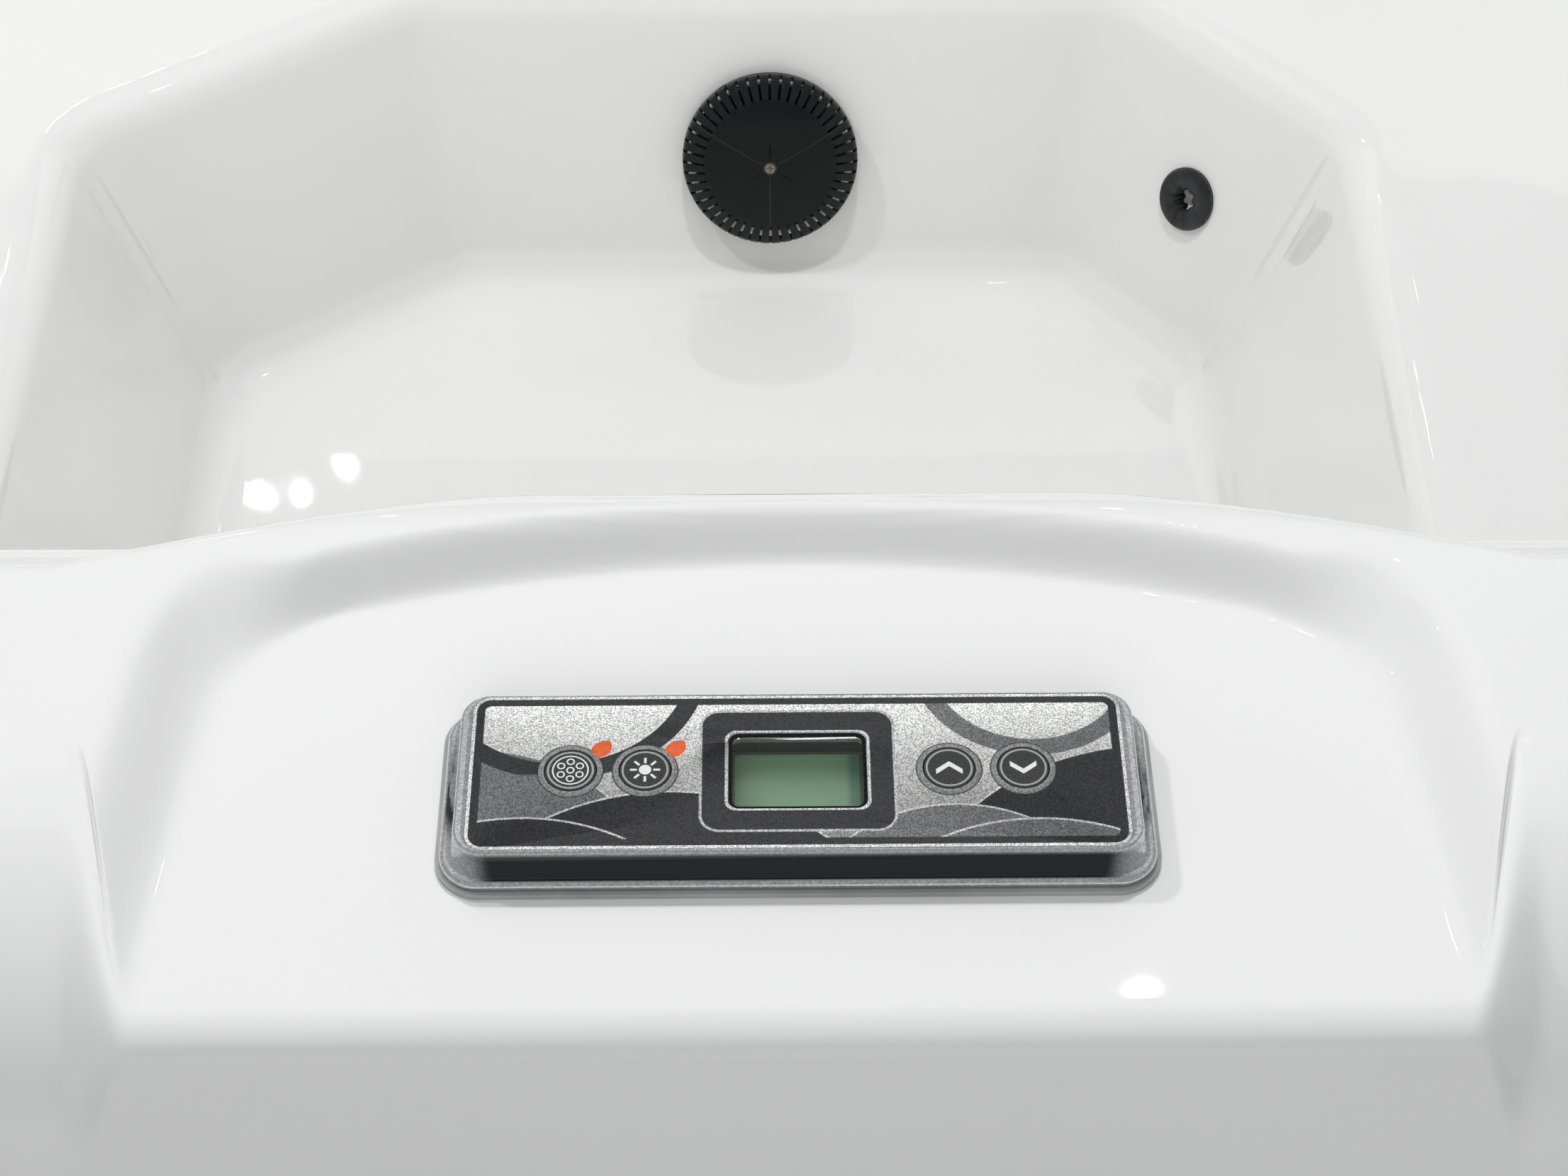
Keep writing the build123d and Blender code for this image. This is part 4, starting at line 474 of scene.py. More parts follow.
def amber_light():
    """Orange light pipe, slightly cloudy."""
    f = Finish("amber_light", (0.8, 0.12, 0.03), 0.25)
    cloud = f.noise(f.place(), 0.6, 2.0)
    f.set("Base Color", f.ramp(cloud, (0.3, (0.72, 0.1, 0.025)), (0.7, (0.86, 0.16, 0.045))))
    f.set("Roughness", f.noise(f.place(), 1.5, 2.0) * 0.2 + 0.2)
    return f.material


def clear_window():
    """Clear acrylic pane."""
    f = Finish("clear_pane", (0.95, 0.97, 0.95), 0.03, Transmission_Weight=1.0, IOR=1.3)
    f.set("Roughness", f.noise(f.place(), 0.4, 2.0) * 0.04 + 0.01)
    return f.material


def frosted_lens():
    """Frosted lamp lens with ripple rings."""
    f = Finish("frosted_lens", (0.86, 0.9, 0.92), 0.35, Transmission_Weight=0.6)
    f.set("Roughness", f.noise(f.place(), 0.3, 2.0) * 0.2 + 0.2)
    f.bump(f.noise(f.place(), 0.5, 2.0), 0.4, 0.0004)
    return f.material


def cover_face(finish):
    """Across and up on the suction cover's face, which lies back with the footwell's wall."""
    x, y, z = finish.parts(finish.place(SUCTION_MIDDLE))
    return x, y * math.sin(FOOTWELL_DRAFT) + z * math.cos(FOOTWELL_DRAFT)


def cover_black():
    """Deep black moulded dome of the suction cover with three faint seams."""
    f = Finish("cover_black", (0.005, 0.0055, 0.006), 0.3, Specular_IOR_Level=0.22)
    x, along_wall = cover_face(f)
    far = distance(x, along_wall)
    seam = 0.0
    for turn in (-90.0, 28.0, 152.0):
        a = math.radians(turn)
        ahead = x * math.cos(a) + along_wall * math.sin(a)
        across = abs(x * math.sin(a) - along_wall * math.cos(a))
        seam = across.below(0.45, 0.25) * (1 - ahead.below(6.0, 0.5)) + seam
    pale = (seam + (1 - far.below(43.0, 1.5)) * 0.35).least(1.0)
    f.set("Base Color", f.mix(pale, (0.0045, 0.005, 0.0055), (0.02, 0.021, 0.022)))
    f.set("Roughness", f.noise(f.place(), 0.5, 2.0) * 0.12 + 0.24)
    f.bump(f.noise(f.place(), 2.4, 2.0), 0.12, 0.0001)
    return f.material


def dull_screw():
    """Dull screw head in a black counterbore."""
    f = Finish("dull_screw", (0.2, 0.18, 0.16), 0.5)
    head = distance(*cover_face(f)).below(3.2, 0.3)
    f.set("Base Color", f.mix(head, (0.01, 0.01, 0.01), (0.26, 0.225, 0.19)))
    f.set("Metallic", head * 0.5)
    f.set("Roughness", f.noise(f.place(), 1.2, 2.0) * 0.2 + 0.35)
    return f.material


def filter_cloth():
    """Pleated filter fleece."""
    f = Finish("filter_fleece", (0.85, 0.88, 0.9), 0.9)
    weave = f.noise(f.place(), 1.6, 4.0)
    f.set("Base Color", f.ramp(weave, (0.3, (0.74, 0.78, 0.82)), (0.7, (0.9, 0.92, 0.94))))
    f.bump(weave, 0.5, 0.0003)
    return f.material


SLOTS = {
    "acrylic": acrylic(),
    "cabinet": boards("cabinet_boards", (0.30, 0.31, 0.32)),
    "trim": moulded("trim_plastic", (0.2, 0.21, 0.22), 0.5),
    "tray": moulded("tray_plastic", (0.035, 0.035, 0.038), 0.6),
    "timber": timber(),
    "screw": metal("stainless", (0.66, 0.66, 0.65), 0.3),
    "bezel": plated_bezel(),
    "gasket": moulded("gasket_rubber", (0.40, 0.405, 0.40), 0.6, grain=0.3),
    "overlay": face_print(),
    "lens": clear_window(),
    "amber": amber_light(),
    "display": display_glass(),
    "board": circuit(),
    "black_fitting": moulded("black_plastic", (0.012, 0.012, 0.014), 0.34, speck=0.3),
    "pipe": moulded("pipe_plastic", (0.84, 0.84, 0.82), 0.3, grain=0.1, speck=0.03),
    "grey_plastic": moulded("grey_plastic", (0.36, 0.37, 0.38), 0.5),
    "motor": moulded("motor_paint", (0.09, 0.1, 0.12), 0.4, grain=0.5),
    "rotor": metal("turned_steel", (0.56, 0.56, 0.57), 0.32),
    "paper": filter_cloth(),
    "heater": metal("heater_steel", (0.7, 0.7, 0.71), 0.26, stretch=(0.02, 0.6, 0.6)),
}
KEY_FINISHES = {
    "button_jets": key_face("button_jets", ring_of_drops),
    "button_light": key_face("button_light", sun),
    "button_up": key_face("button_up", chevron(1)),
    "button_down": key_face("button_down", chevron(-1)),
}
SPECIAL = {
    "light_lens": frosted_lens(),
    "suction_cover": cover_black(),
    "suction_screw": dull_screw(),
    # Painted shade: the gaskets and the return pipe, seen through the cover's slots and the fitting's
    # bore, take the black fitting finish so those openings look black.
    "suction_gasket": SLOTS["black_fitting"],
    "return_gasket": SLOTS["black_fitting"],
    "return_pipe": SLOTS["black_fitting"],
    **KEY_FINISHES,
}


# The moulded tub, as one grid of columns round the tub and rows from lip to floor
def turned(way, angle):
    """Flat vector turned anticlockwise."""
    c, s = math.cos(angle), math.sin(angle)
    return np.array([way[0] * c - way[1] * s, way[0] * s + way[1] * c])


def side_directions(corners):
    """Outward direction of each side, of the side before it, and how much the two agree."""
    edges = np.roll(corners, -1, 0) - corners
    edges /= np.linalg.norm(edges, axis=1)[:, None]
    outward = np.stack([edges[:, 1], -edges[:, 0]], 1)
    before = np.roll(outward, 1, 0)
    return outward, before, 1 + (before * outward).sum(1)[:, None]


def outline(corners, radius, side_ts, corner_ts, halves):
    """Points and outward directions round a polygon with rounded corners.

    halves says that a corner of the tub is two corners of this outline, with a straight between."""
    corners = np.array(corners, float)
    count = len(corners)
    outward, before, share = side_directions(corners)
    centres = corners - (before + outward) / share * radius
    points, normals = [], []
    per_side = 2 if halves else 1

    def straight(index, ts):
        start = centres[index] + outward[index] * radius
        end = centres[(index + 1) % count] + outward[index] * radius
        for t in ts:
            points.append(start + (end - start) * t)
            normals.append(outward[index])

    def arc(index, ts):
        first, last = before[index], outward[index]
        whole = math.acos(max(-1.0, min(1.0, float(first @ last))))
        for t in ts:
            way = turned(first, whole * t)
            points.append(centres[index] + way * radius)
            normals.append(way)

    for side in range(4):
        index = side * per_side
        straight(index, side_ts[side])
        if halves:
            arc((index + 1) % count, corner_ts[0])
            straight((index + 1) % count, corner_ts[1])
            arc((index + 2) % count, corner_ts[2])
        else:
            arc((index + 1) % count, [(third + t) / 3 for third in range(3) for t in corner_ts[third]])
    return np.array(points), np.array(normals)


def near_columns():
    """Places of the columns on the near side, closest at the ends of the recess."""
    half = np.concatenate([np.arange(0, 0.205, 0.0016), np.linspace(0.206, 0.637, 36)])
    return np.concatenate([-half[:0:-1], half])


NEAR_X = near_columns()
BASIN_FLAT = HALF_X - RIM_WIDTH - BASIN_CUT - BASIN_CORNER_R * math.tan(math.radians(22.5))
OUTER_FLAT = HALF_X - CORNER_R


def even(count):
    """Shares along a stretch, without its last point."""
    return np.linspace(0, 1, count, endpoint=False)


CORNER_TS = [list(even(14)), list(even(16)), list(even(14))]


def near_shares(reach):
    """Shares along the near side at which the columns keep their places in its middle."""
    spread = np.abs(NEAR_X)
    beyond = FLAT_X + (spread - FLAT_X) * (reach - FLAT_X) / (BASIN_FLAT - FLAT_X)
    places = np.where(spread > FLAT_X, beyond, spread) * np.sign(NEAR_X)
    return list((places + reach) / (2 * reach))


def side_shares(reach):
    return [near_shares(reach), list(even(84)), list(even(110)), list(even(84))]


def octagon(z):
    """Corners of the basin at height z."""
    draw = (RIM_TOP - z) * math.tan(BASIN_DRAFT)
    x = HALF_X - RIM_WIDTH - draw
    y = HALF_Y - RIM_WIDTH - draw
    c = BASIN_CUT
    return [
        (-x + c, -y), (x - c, -y), (x, -y + c), (x, y - c),
        (x - c, y), (-x + c, y), (-x, y - c), (-x, -y + c),
    ]


def footwell(z):
    """Corners of the footwell at height z: the floor's outline moved out by the draft."""
    corners = np.array(FOOTWELL)
    outward, before, share = side_directions(corners)
    grow = (z - FLOOR_Z) * math.tan(FOOTWELL_DRAFT)
    return corners + (before + outward) / share * grow


class Wall:
    """Drafted wall all round: where each column is at a height, and its slope."""

    def __init__(self, corners_at, radius, reach):
        shares = side_shares(reach)
        self.base, self.normal = outline(corners_at(0.0), radius, shares, CORNER_TS, True)
        top, _ = outline(corners_at(1.0), radius, shares, CORNER_TS, True)
        self.lean = top - self.base
        self.slope = (self.lean * self.normal).sum(1)
        self.slide = self.lean - self.slope[:, None] * self.normal

    def at(self, z):
        flat = self.base + self.lean * z
        return np.column_stack([flat, np.full(len(flat), z)])

    def edge(self, level, radius, share, inside):
        """Point on the rounded edge between this wall and a level: share 0 on the upper surface."""
        turn = math.pi / 2 - np.arctan(self.slope)
        reach = radius * np.tan(turn / 2)
        if inside:
            angle = -(math.pi / 2 - turn) - turn * share
            out = -reach + radius * np.cos(angle)
            z = level + radius + radius * np.sin(angle)
        else:
            angle = turn * share
            out = reach - radius * np.sin(angle)
            z = level - radius + radius * np.cos(angle)
        flat = self.base + self.lean * level + self.normal * out[:, None]
        flat += self.slide * (z - level)[:, None]
        return np.column_stack([flat, z])


def smooth(t):
    t = np.clip(t, 0, 1)
    return t * t * (3 - 2 * t)


def recess_outline():
    """Foot of the recess wall, as a closed line: straight sides, round corners, arched back."""
    front = -HALF_Y - 0.03
    way = np.array([RECESS_HALF_BACK - RECESS_HALF_FRONT, RECESS_SIDE_Y + HALF_Y])
    way /= np.linalg.norm(way)
    half_chord = RECESS_HALF_BACK
    rise = RECESS_BACK_Y - RECESS_SIDE_Y
    arch_r = (half_chord**2 + rise**2) / (2 * rise)
    arch_y = RECESS_BACK_Y - arch_r
    right = []
    side_start = np.array([RECESS_HALF_FRONT, front])
    corner = np.array([RECESS_HALF_BACK, RECESS_SIDE_Y])
    back_way = np.array([-1.0, rise / half_chord * 1.9])
    back_way /= np.linalg.norm(back_way)
    turn = math.acos(float(way @ back_way))
    cut = RECESS_CORNER_R * math.tan(turn / 2)
    start = corner - way * cut
    centre = start + np.array([-way[1], way[0]]) * RECESS_CORNER_R
    right.append(side_start)
    for t in np.linspace(0, 1, 24):
        right.append(centre + turned(start - centre, turn * t))
    end = right[-1]
    step = end[1] - (arch_y + math.sqrt(arch_r**2 - end[0] ** 2))
    for x in np.linspace(end[0], 0, 30)[1:]:
        y = arch_y + math.sqrt(arch_r**2 - x**2)
        right.append(np.array([x, y + step * (x / end[0]) ** 2]))
    right = np.array(right)
    left = right[-2::-1] * [-1, 1]
    return np.concatenate([right, left])


RECESS = recess_outline()


def signed_distance(points, corners, measured):
    """Distance to the first sides of a closed outline, below 0 inside the whole of it."""
    best = np.full(len(points), 1e9)
    inside = np.zeros(len(points), bool)
    for index, (a, b) in enumerate(zip(corners, np.roll(corners, -1, 0))):
        d = b - a
        if index < measured:
            t = np.clip(((points - a) @ d) / max(d @ d, 1e-12), 0, 1)
            best = np.minimum(best, np.linalg.norm(points - a - t[:, None] * d, axis=1))
        crosses = (a[1] > points[:, 1]) != (b[1] > points[:, 1])
        with np.errstate(divide="ignore", invalid="ignore"):
            at = d[0] * (points[:, 1] - a[1]) / d[1] + a[0]
        inside ^= crosses & (points[:, 0] < at)
    best[inside] *= -1
    return best


def recess_share(x, y):
    """1 on the recess floor, 0 on the rim, with a soft wall between."""
    shape = x.shape
    points = np.stack([x.ravel(), y.ravel()], 1)
    share = np.zeros(len(points))
    near = (np.abs(points[:, 0]) < NEAR_RECESS_X) & (points[:, 1] < NEAR_RECESS_Y)
    p = points[near]
    best = signed_distance(p, RECESS, len(RECESS))
    side = smooth((np.abs(p[:, 0]) - 0.112) / 0.03)
    width = WALL_AT_BACK + (WALL_AT_SIDES - WALL_AT_BACK) * side
    foot = FOOT_AT_BACK + (FOOT_AT_SIDES - FOOT_AT_BACK) * side
    share[near] = 1 - smooth((best + foot) / width)
    return share.reshape(shape)


def ridge_fall(x, y):
    """How far the rim falls away behind the arched ridge, clear of the rail under the rim."""
    ridge = np.maximum(RIDGE_Y - RIDGE_BEND * x**2, RIDGE_END_Y)
    behind = smooth((y - ridge) / RIDGE_SLOPE)
    beside = smooth((np.abs(x) - 0.06) / 0.1) * (1 - smooth((np.abs(x) - 0.3) / 0.3))
    return RIDGE_DROP * behind * beside


def tub_rows():
    """The bathing surface as rows of columns, from the lip's hidden edge to the floor's middle."""
    outer, outer_normal = outline(
        [(-HALF_X, -HALF_Y), (HALF_X, -HALF_Y), (HALF_X, HALF_Y), (-HALF_X, HALF_Y)],
        CORNER_R, side_shares(OUTER_FLAT), CORNER_TS, False,
    )
    basin = Wall(octagon, BASIN_CORNER_R, BASIN_FLAT)
    well = Wall(footwell, FOOTWELL_CORNER_R, BASIN_FLAT)
    middle = np.arange(len(outer)) < len(NEAR_X)
    x = outer[:, 0]
    front = np.where(middle, recess_share(x, np.full(len(x), -HALF_Y + 0.012)), 0.0)
    radius = LIP_R + (SHELF_EDGE_R - LIP_R) * front
    top = RIM_TOP - PLATFORM_DROP * front
    rows, names = [], []

    def row(inset, z, name):
        flat = outer - outer_normal * np.broadcast_to(inset, len(outer))[:, None]
        rows.append(np.column_stack([flat, np.broadcast_to(z, len(outer))]))
        names.append(name)

    edge_r = 0.002
    for inset in (SKIN, 0.0045, edge_r):
        row(inset, LIP_BOTTOM, "lip")
    for angle in (30, 60, 90):
        a = math.radians(angle)
        row(edge_r - edge_r * math.sin(a), LIP_BOTTOM + edge_r - edge_r * math.cos(a), "lip")
    face_top = top - radius
    for share in np.linspace(0, 1, 9)[1:-1]:
        z = LIP_BOTTOM + edge_r + (face_top - LIP_BOTTOM - edge_r) * share
        row(0.0, z, "lip")
    for share in np.linspace(0, 1, 26):
        a = share * math.pi / 2
        row(radius * (1 - math.cos(a)), face_top + radius * math.sin(a), "rim")
    lip_end = rows[-1]
    rim_start = basin.edge(RIM_TOP, RIM_EDGE_R, 0.0, False)
    fine = np.concatenate([np.linspace(0, 0.36, 12), np.linspace(0.36, 1, 54)[1:]])[1:-1]
    for share in fine:
        rows.append(lip_end + (rim_start - lip_end) * share)
        names.append("deck")
    for share in np.linspace(0, 1, 14):
        rows.append(basin.edge(RIM_TOP, RIM_EDGE_R, share, False))
        names.append("edge")
    for index, name in enumerate(names):
        if name in ("deck", "edge"):
            points = rows[index]
            points[middle, 2] = np.where(name == "deck", RIM_TOP, points[middle, 2])
            points[middle, 2] -= PLATFORM_DROP * recess_share(points[middle, 0], points[middle, 1])
            points[middle, 2] -= ridge_fall(points[middle, 0], points[middle, 1])
    wall_top = rows[-1]
    wall_foot = basin.edge(SEAT_Z, SEAT_R, 0.0, True)
    for share in np.linspace(0, 1, 44)[1:-1]:
        rows.append(wall_top + (wall_foot - wall_top) * share)
        names.append("wall")
    for share in np.linspace(0, 1, 12):
        rows.append(basin.edge(SEAT_Z, SEAT_R, share, True))
        names.append("seat")
    seat_start = rows[-1]
    ledge = well.edge(SEAT_Z, LEDGE_R, 0.0, False)
    for share in np.linspace(0, 1, 34)[1:-1]:
        rows.append(seat_start + (ledge - seat_start) * share)
        names.append("seat")
    for share in np.linspace(0, 1, 12):
        rows.append(well.edge(SEAT_Z, LEDGE_R, share, False))
        names.append("ledge")
    well_top = rows[-1]
    well_foot = well.edge(FLOOR_Z, FLOOR_R, 0.0, True)
    for share in np.linspace(0, 1, 18)[1:-1]:
        rows.append(well_top + (well_foot - well_top) * share)
        names.append("well")
    for share in np.linspace(0, 1, 12):
        rows.append(well.edge(FLOOR_Z, FLOOR_R, share, True))
        names.append("well")
    rim = rows[-1]
    for share in (0.9, 0.75, 0.55, 0.3, 0.1, 0.02):
        inner = rim.copy()
        inner[:, :2] = FOOTWELL_MIDDLE + (rim[:, :2] - FOOTWELL_MIDDLE) * share
        rows.append(inner)
        names.append("floor")
    return np.array(rows), names


def bowl_line():
    """Half section of a seat bowl: flat middle, then two arcs that run into each other."""
    (_, low), (flat, _), (waist, waist_z), (top, top_z) = BOWL_PROFILE
    across, up = waist - flat, waist_z - low
    radius = (across**2 + up**2) / (2 * up)
    points = [(0.0, low)]
    sweep = math.atan2(across, radius - up)
    for t in np.linspace(0, 1, 16):
        a = sweep * t
        points.append((flat + radius * math.sin(a), low + radius - radius * math.cos(a)))
    way = np.array([math.cos(sweep), math.sin(sweep)])
    start, end = np.array([waist, waist_z]), np.array([top, top_z])
    chord = end - start
    normal = np.array([-way[1], way[0]])
    bend = (chord @ chord) / (2 * (chord @ normal))
    centre = start + normal * bend
    a0 = math.atan2(*(start - centre)[::-1])
    whole = 2 * math.asin(min(1.0, np.linalg.norm(chord) / (2 * abs(bend))))
    for t in np.linspace(0, 1, 24)[1:]:
        a = a0 + whole * t
        points.append((centre[0] + abs(bend) * math.cos(a), centre[1] + abs(bend) * math.sin(a)))
    points.append((0.0, top_z))
    return np.array(points)


BOWL_LINE = bowl_line()


def bowl_distance(points):
    """Signed distance to the nearest seat bowl, below 0 inside it."""
    r = np.hypot(np.abs(points[:, 0]) - BOWL_X, np.abs(points[:, 1]) - BOWL_Y)
    return signed_distance(np.stack([r, points[:, 2]], 1), BOWL_LINE, len(BOWL_LINE) - 1)


def grid_normals(rows):
    """Normal at each crossing of the grid, pointing up and into the tub."""
    along = np.roll(rows, -1, 1) - np.roll(rows, 1, 1)
    down = np.gradient(rows, axis=0)
    normals = np.cross(along, down)
    lengths = np.linalg.norm(normals, axis=2, keepdims=True)
    return normals / np.maximum(lengths, 1e-12)


def press_bowls(rows, names):
    """Push the backrests and seats out into the four seat bowls, with soft edges."""
    normals = grid_normals(rows)
    pressed = [i for i, name in enumerate(names) if name in ("wall", "seat")]
    first, last = pressed[0], pressed[-1] + 1
    points = rows[first:last].reshape(-1, 3)
    outward = -normals[first:last].reshape(-1, 3)
    way = points - BOWL_PRESS_FROM
    way /= np.linalg.norm(way, axis=1)[:, None]
    facing = np.maximum((way * outward).sum(1), 0.05)
    touched = bowl_distance(points) < BOWL_SOFTNESS
    p, d, f = points[touched], way[touched], facing[touched]
    low, high = np.zeros(len(p)), np.full(len(p), BOWL_DEEPEST)
    for _ in range(18):
        middle = (low + high) / 2
        bowl = bowl_distance(p + d * middle[:, None])
        own = middle * f
        gap = np.maximum(BOWL_SOFTNESS - np.abs(own - bowl), 0) / BOWL_SOFTNESS
        joined = np.minimum(own, bowl) - gap**2 * BOWL_SOFTNESS * 0.25
        low = np.where(joined < 0, middle, low)
        high = np.where(joined < 0, high, middle)
    points[touched] = p + d * low[:, None]
    rows[first:last] = points.reshape(rows[first:last].shape)
    return rows


def face_middle(node):
    """Middle of the face that a fitting shows to the bathers."""
    source = frame["nodes"][node]
    points = np.array([source.matrix_world @ v.co for v in source.data.vertices])
    way = TUB_MIDDLE - (points.min(0) + points.max(0)) / 2
    reach = points @ (way / np.linalg.norm(way))
    return points[reach > reach.max() - 0.004].mean(0)


def opening_places():
    """Middle and radius of each hole that a fitting covers."""
    holes = [("return_fitting", 0.0165), ("light_lens", 0.036)]
    holes += [(f"jet_face_{n}", 0.0265) for n in range(1, 7)]
    places = [(face_middle(node), radius, False) for node, radius in holes]
    places.append((np.array(SUCTION_MIDDLE), 0.0535, False))
    rim_holes = [("filter_lid", 0.071), ("air_knob_left", 0.0245), ("air_knob_right", 0.0245)]
    for node, radius in rim_holes:
        low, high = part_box(node)
        places.append((np.array((low + high) / 2), radius, True))
    return places


OPENINGS = opening_places()


def is_open(points):
    """True where a point of the skin lies under a fitting's flange."""
    gone = np.zeros(len(points), bool)
    for middle, radius, upright in OPENINGS:
        apart = points - middle
        if upright:
            apart = apart * [1, 1, 0]
            gone |= (np.linalg.norm(apart, axis=1) < radius) & (points[:, 2] > RIM_LEVEL)
        else:
            gone |= np.linalg.norm(apart, axis=1) < radius
    panel = np.abs(points[:, 0] - PANEL_X) < PANEL_HOLE_HALF[0]
    panel &= np.abs(points[:, 1] - PANEL_Y) < PANEL_HOLE_HALF[1]
    return gone | (panel & (points[:, 2] > RIM_LEVEL))


def keep_used(piece):
    """Drop the loose points that the openings leave."""
    work = bmesh.new()
    work.from_mesh(piece.data)
    loose = [v for v in work.verts if not v.link_faces]
    if loose:
        normals = [tuple(n.vector) for n in piece.data.corner_normals]
        bmesh.ops.delete(work, geom=loose, context="VERTS")
        work.to_mesh(piece.data)
        piece.data.normals_split_custom_set(normals)
    work.free()


def skin_piece(name, rows, normals, row_range, column_range=None, flip=False):
    """One piece of the moulded skin, cut from the whole grid with the grid's own normals."""
    first, last = row_range
    count = rows.shape[1]
    columns = np.arange(*(column_range or (0, count + 1)))
    part = rows[first:last][:, columns % count]
    part_normals = normals[first:last][:, columns % count]
    points = part.reshape(-1, 3)
    high, wide = part.shape[:2]
    index = np.arange(high * wide).reshape(high, wide)
    a, b = index[:-1, :-1].ravel(), index[:-1, 1:].ravel()
    c, d = index[1:, 1:].ravel(), index[1:, :-1].ravel()
    faces = np.stack([a, d, c, b] if flip else [a, b, c, d], 1)
    gone = is_open(points)
    faces = faces[~gone[faces].all(1)]
    mesh = bpy.data.meshes.new(name)
    mesh.from_pydata(points.tolist(), [], faces.tolist())
    if name == "shell_footwell":
        loop = index[-1, :-1]
        top = len(points)
        middle = points[index[-1]].mean(0)
        mesh.clear_geometry()
        cap = [(int(loop[i]), int(loop[(i + 1) % len(loop)]), top) for i in range(len(loop))]
        mesh.from_pydata(points.tolist() + [middle.tolist()], [], faces.tolist() + cap)
        part_normals = np.concatenate([part_normals.reshape(-1, 3), [[0, 0, 1]]])
    mesh.polygons.foreach_set("use_smooth", [True] * len(mesh.polygons))
    sign = -1 if flip else 1
    mesh.normals_split_custom_set_from_vertices((part_normals.reshape(-1, 3) * sign).tolist())
    made = bpy.data.objects.new(name, mesh)
    bpy.context.scene.collection.objects.link(made)
    keep_used(made)
    made.data.materials.append(SLOTS["acrylic"])
    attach(made, "root")
    return made


def make_tub():
    """The smooth tub: near rim with its recess, rim, backrests, footwell and hidden side."""
    rows, names = tub_rows()
    rows = press_bowls(rows, names)
    normals = grid_normals(rows)
    columns = rows.shape[1]
    split = names.index("wall") + 8
    seat = [i for i, name in enumerate(names) if name == "seat"]
    seat_split = seat[len(seat) // 2 + 6]
    near = len(NEAR_X)
    near_rim = skin_piece("shell_near_rim", rows, normals, (0, split + 1), (0, near + 1))
    skin_piece("shell_rim", rows, normals, (0, split + 1), (near, columns + 1))
    skin_piece("shell_backrests", rows, normals, (split, seat_split + 1))
    skin_piece("shell_footwell", rows, normals, (seat_split, len(rows)))
    hidden = rows - normals * SKIN
    hidden[0] = rows[0]
    rim_row = names.index("rim")
    hidden[:rim_row, :, 2] = np.maximum(hidden[:rim_row, :, 2], LIP_BOTTOM)
    keep_rows = [0] + list(range(rim_row, len(rows) - 6, 3)) + [len(rows) - 1]
    coarse = hidden[keep_rows][:, ::3]
    skin_piece("shell_underside", coarse, grid_normals(coarse), (0, len(coarse)), flip=True)
    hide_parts("shell")


make_tub()


# CAD pieces that show curves up close: a merged copy with smooth shading stands for each
NODE_SLOTS = {part["node"]: part["material_slot"] for part in frame["record"]["subparts"]}
SMOOTH_ANGLE = math.radians(32.0)


def smooth_copy(node, finish):
    """Copy of a CAD piece with its points merged and its curves shaded smooth."""
    source = frame["nodes"][node]
    made = source.copy()
    made.data = source.data.copy()
    made.name = node + "_smooth"
    for key in list(made.keys()):
        if key.startswith("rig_"):
            del made[key]
    made.parent = None
    bpy.context.scene.collection.objects.link(made)
    bpy.ops.object.select_all(action="DESELECT")
    made.select_set(True)
    bpy.context.view_layer.objects.active = made
    bpy.ops.object.mode_set(mode="EDIT")
    bpy.ops.mesh.select_all(action="SELECT")
    bpy.ops.mesh.remove_doubles(threshold=0.000004)
    bpy.ops.object.mode_set(mode="OBJECT")
    bpy.ops.object.shade_smooth_by_angle(angle=SMOOTH_ANGLE)
    made.select_set(False)
    made.data.materials.clear()
    made.data.materials.append(finish)
    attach(made, source["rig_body"])
    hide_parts(node)


SMOOTHED = [
    "suction_cover", "suction_screw", "return_fitting", "light_lens", "light_housing",
    "panel_housing", "panel_overlay", "panel_gasket",
    "button_jets", "button_light", "button_up", "button_down",
    "air_knob_left", "air_knob_right", "filter_lid", "filter_canister", "air_valve_bodies",
    "jet_bodies", "skirt_corners", "jet_pipe", "suction_pipe", "return_pipe", "heater_tube",
    "pump_motor", "pump_volute", "control_box", "base_pan",
] + [f"jet_face_{n}" for n in range(1, 7)]

for node, source in frame["nodes"].items():
    if node == "shell":
        source.data.materials.clear()
        source.data.materials.append(SLOTS["acrylic"])
        continue
    finish = SPECIAL.get(node) or SLOTS[NODE_SLOTS[node]]
    source.data.materials.clear()
    source.data.materials.append(finish)
    if node in SMOOTHED:
        smooth_copy(node, finish)


# Studio: pale floor, soft lamps, small bright lamps overhead, and the photograph's camera
def plain(name, color, roughness=0.8):
    material = bpy.data.materials.new(name)
    material.use_nodes = True
    shader = material.node_tree.nodes["Principled BSDF"]
    shader.inputs["Base Color"].default_value = (*color, 1.0)
    shader.inputs["Roughness"].default_value = roughness
    return material


def card(name, size, place, look_at, color):
    """Flat studio card that faces a point."""
    bpy.ops.mesh.primitive_plane_add(size=1)
    made = bpy.context.active_object
    made.name = name
    made.scale = (size[0], size[1], 1)
    made.location = place
    made.rotation_euler = (Vector(look_at) - Vector(place)).to_track_quat("Z", "Y").to_euler()
    made.data.materials.append(plain(name + "_paint", color))
    made.select_set(False)
    return made


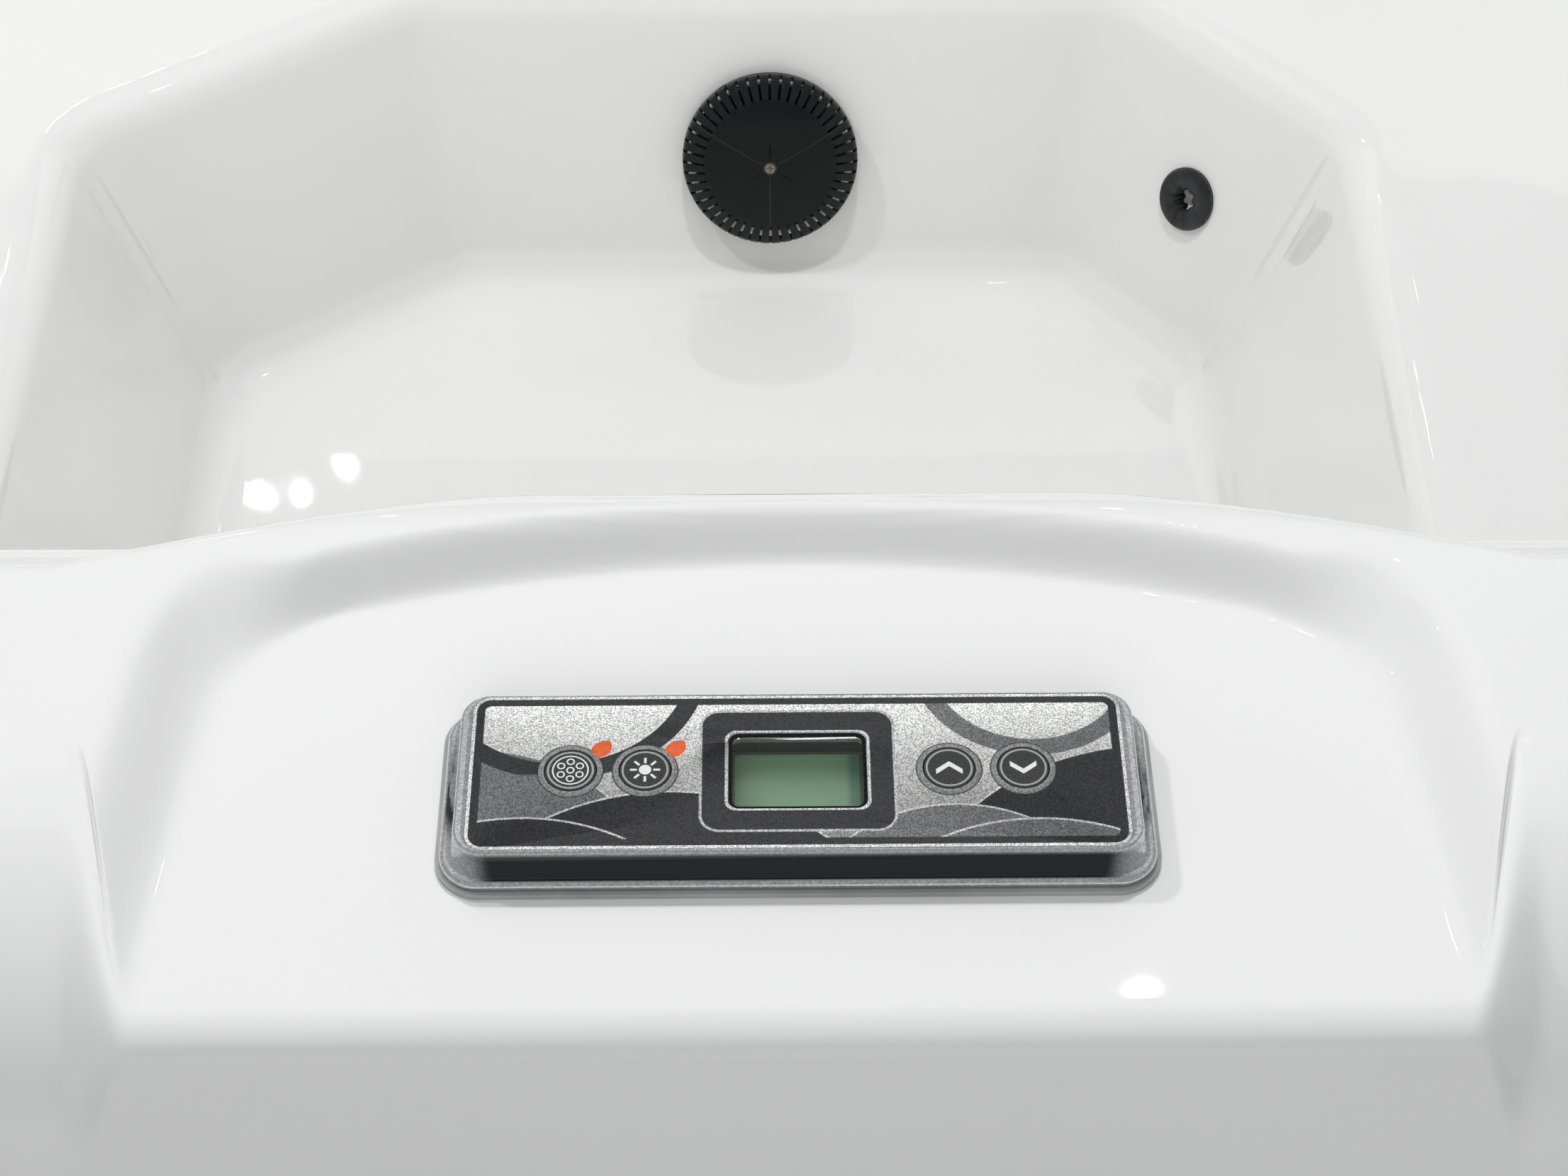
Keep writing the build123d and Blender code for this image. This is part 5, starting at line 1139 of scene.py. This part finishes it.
def lamp(name, size, place, look_at, strength, color=(1, 1, 1)):
    """Soft lamp of a given brightness per area, so that its glare doesn't change with its size."""
    data = bpy.data.lights.new(name, "AREA")
    data.shape = "RECTANGLE" if isinstance(size, tuple) else "DISK"
    across, up = size if isinstance(size, tuple) else (size, size)
    data.size = across
    data.size_y = up
    area = across * up * (1 if isinstance(size, tuple) else math.pi / 4)
    data.energy = strength * math.pi * area
    data.color = color
    made = bpy.data.objects.new(name, data)
    made.location = place
    made.rotation_euler = (Vector(place) - Vector(look_at)).to_track_quat("Z", "Y").to_euler()
    bpy.context.scene.collection.objects.link(made)
    return made


card("studio_floor", (30, 30), (0, 0, -0.0005), (0, 0, 5), (0.78, 0.78, 0.77))

world = bpy.data.worlds.new("studio_air")
bpy.context.scene.world = world
world.use_nodes = True
world.node_tree.nodes["Background"].inputs["Color"].default_value = (0.97, 0.985, 1.0, 1.0)
world.node_tree.nodes["Background"].inputs["Strength"].default_value = 0.35

lamp("soft_overhead", (2.6, 2.2), (0.0, 0.3, 3.0), (0, 0, 0.5), 0.3)
unmirrored = [
    lamp("soft_front", (2.4, 1.2), (0.0, -3.2, 2.3), (0, -0.8, 0.85), 2.1),
    lamp("spot_over_drain", 0.15, (0.03, 0.12, 2.75), (0.0, 0.2, 0.2), 300.0),
    lamp("spot_left", 0.15, (-1.3, 0.1, 2.65), (0.0, 0.1, 0.2), 240.0),
]
for made in unmirrored:
    made.visible_glossy = False
small_lamps = [
    (-0.897, 2.617), (-0.791, 2.575), (-0.965, 2.567), (-0.921, 2.496), (-0.864, 2.505),
    (-0.982, 2.466), (0.571, 3.038), (0.578, 3.130), (0.871, 2.577), (-0.653, 3.003),
    (-0.676, 3.118), (1.2, 0.7), (-1.3, 0.1), (0.35, 0.3),
]
for number, (x, y) in enumerate(small_lamps):
    lamp(f"ceiling_lamp_{number}", 0.028, (x, y, 2.7), (0, 0, 0.3), 45.0)

camera_data = bpy.data.cameras.new("camera")
camera_data.sensor_width = 36.0
camera_data.lens = 68.03
camera_data.clip_start = 0.05
camera_data.clip_end = 60.0
camera = bpy.data.objects.new("camera", camera_data)
bpy.context.scene.collection.objects.link(camera)
forward = Vector((0.00584, 0.66911, -0.74314)).normalized()
right = Vector((0.99996, -0.00873, 0.0)).normalized()
up = right.cross(forward).normalized()
turn = Matrix((right, up, -forward)).transposed().to_4x4()
camera.matrix_world = Matrix.Translation((-0.0069, -1.2918, 1.389)) @ turn
bpy.context.scene.camera = camera

bpy.context.scene.view_settings.view_transform = "Standard"
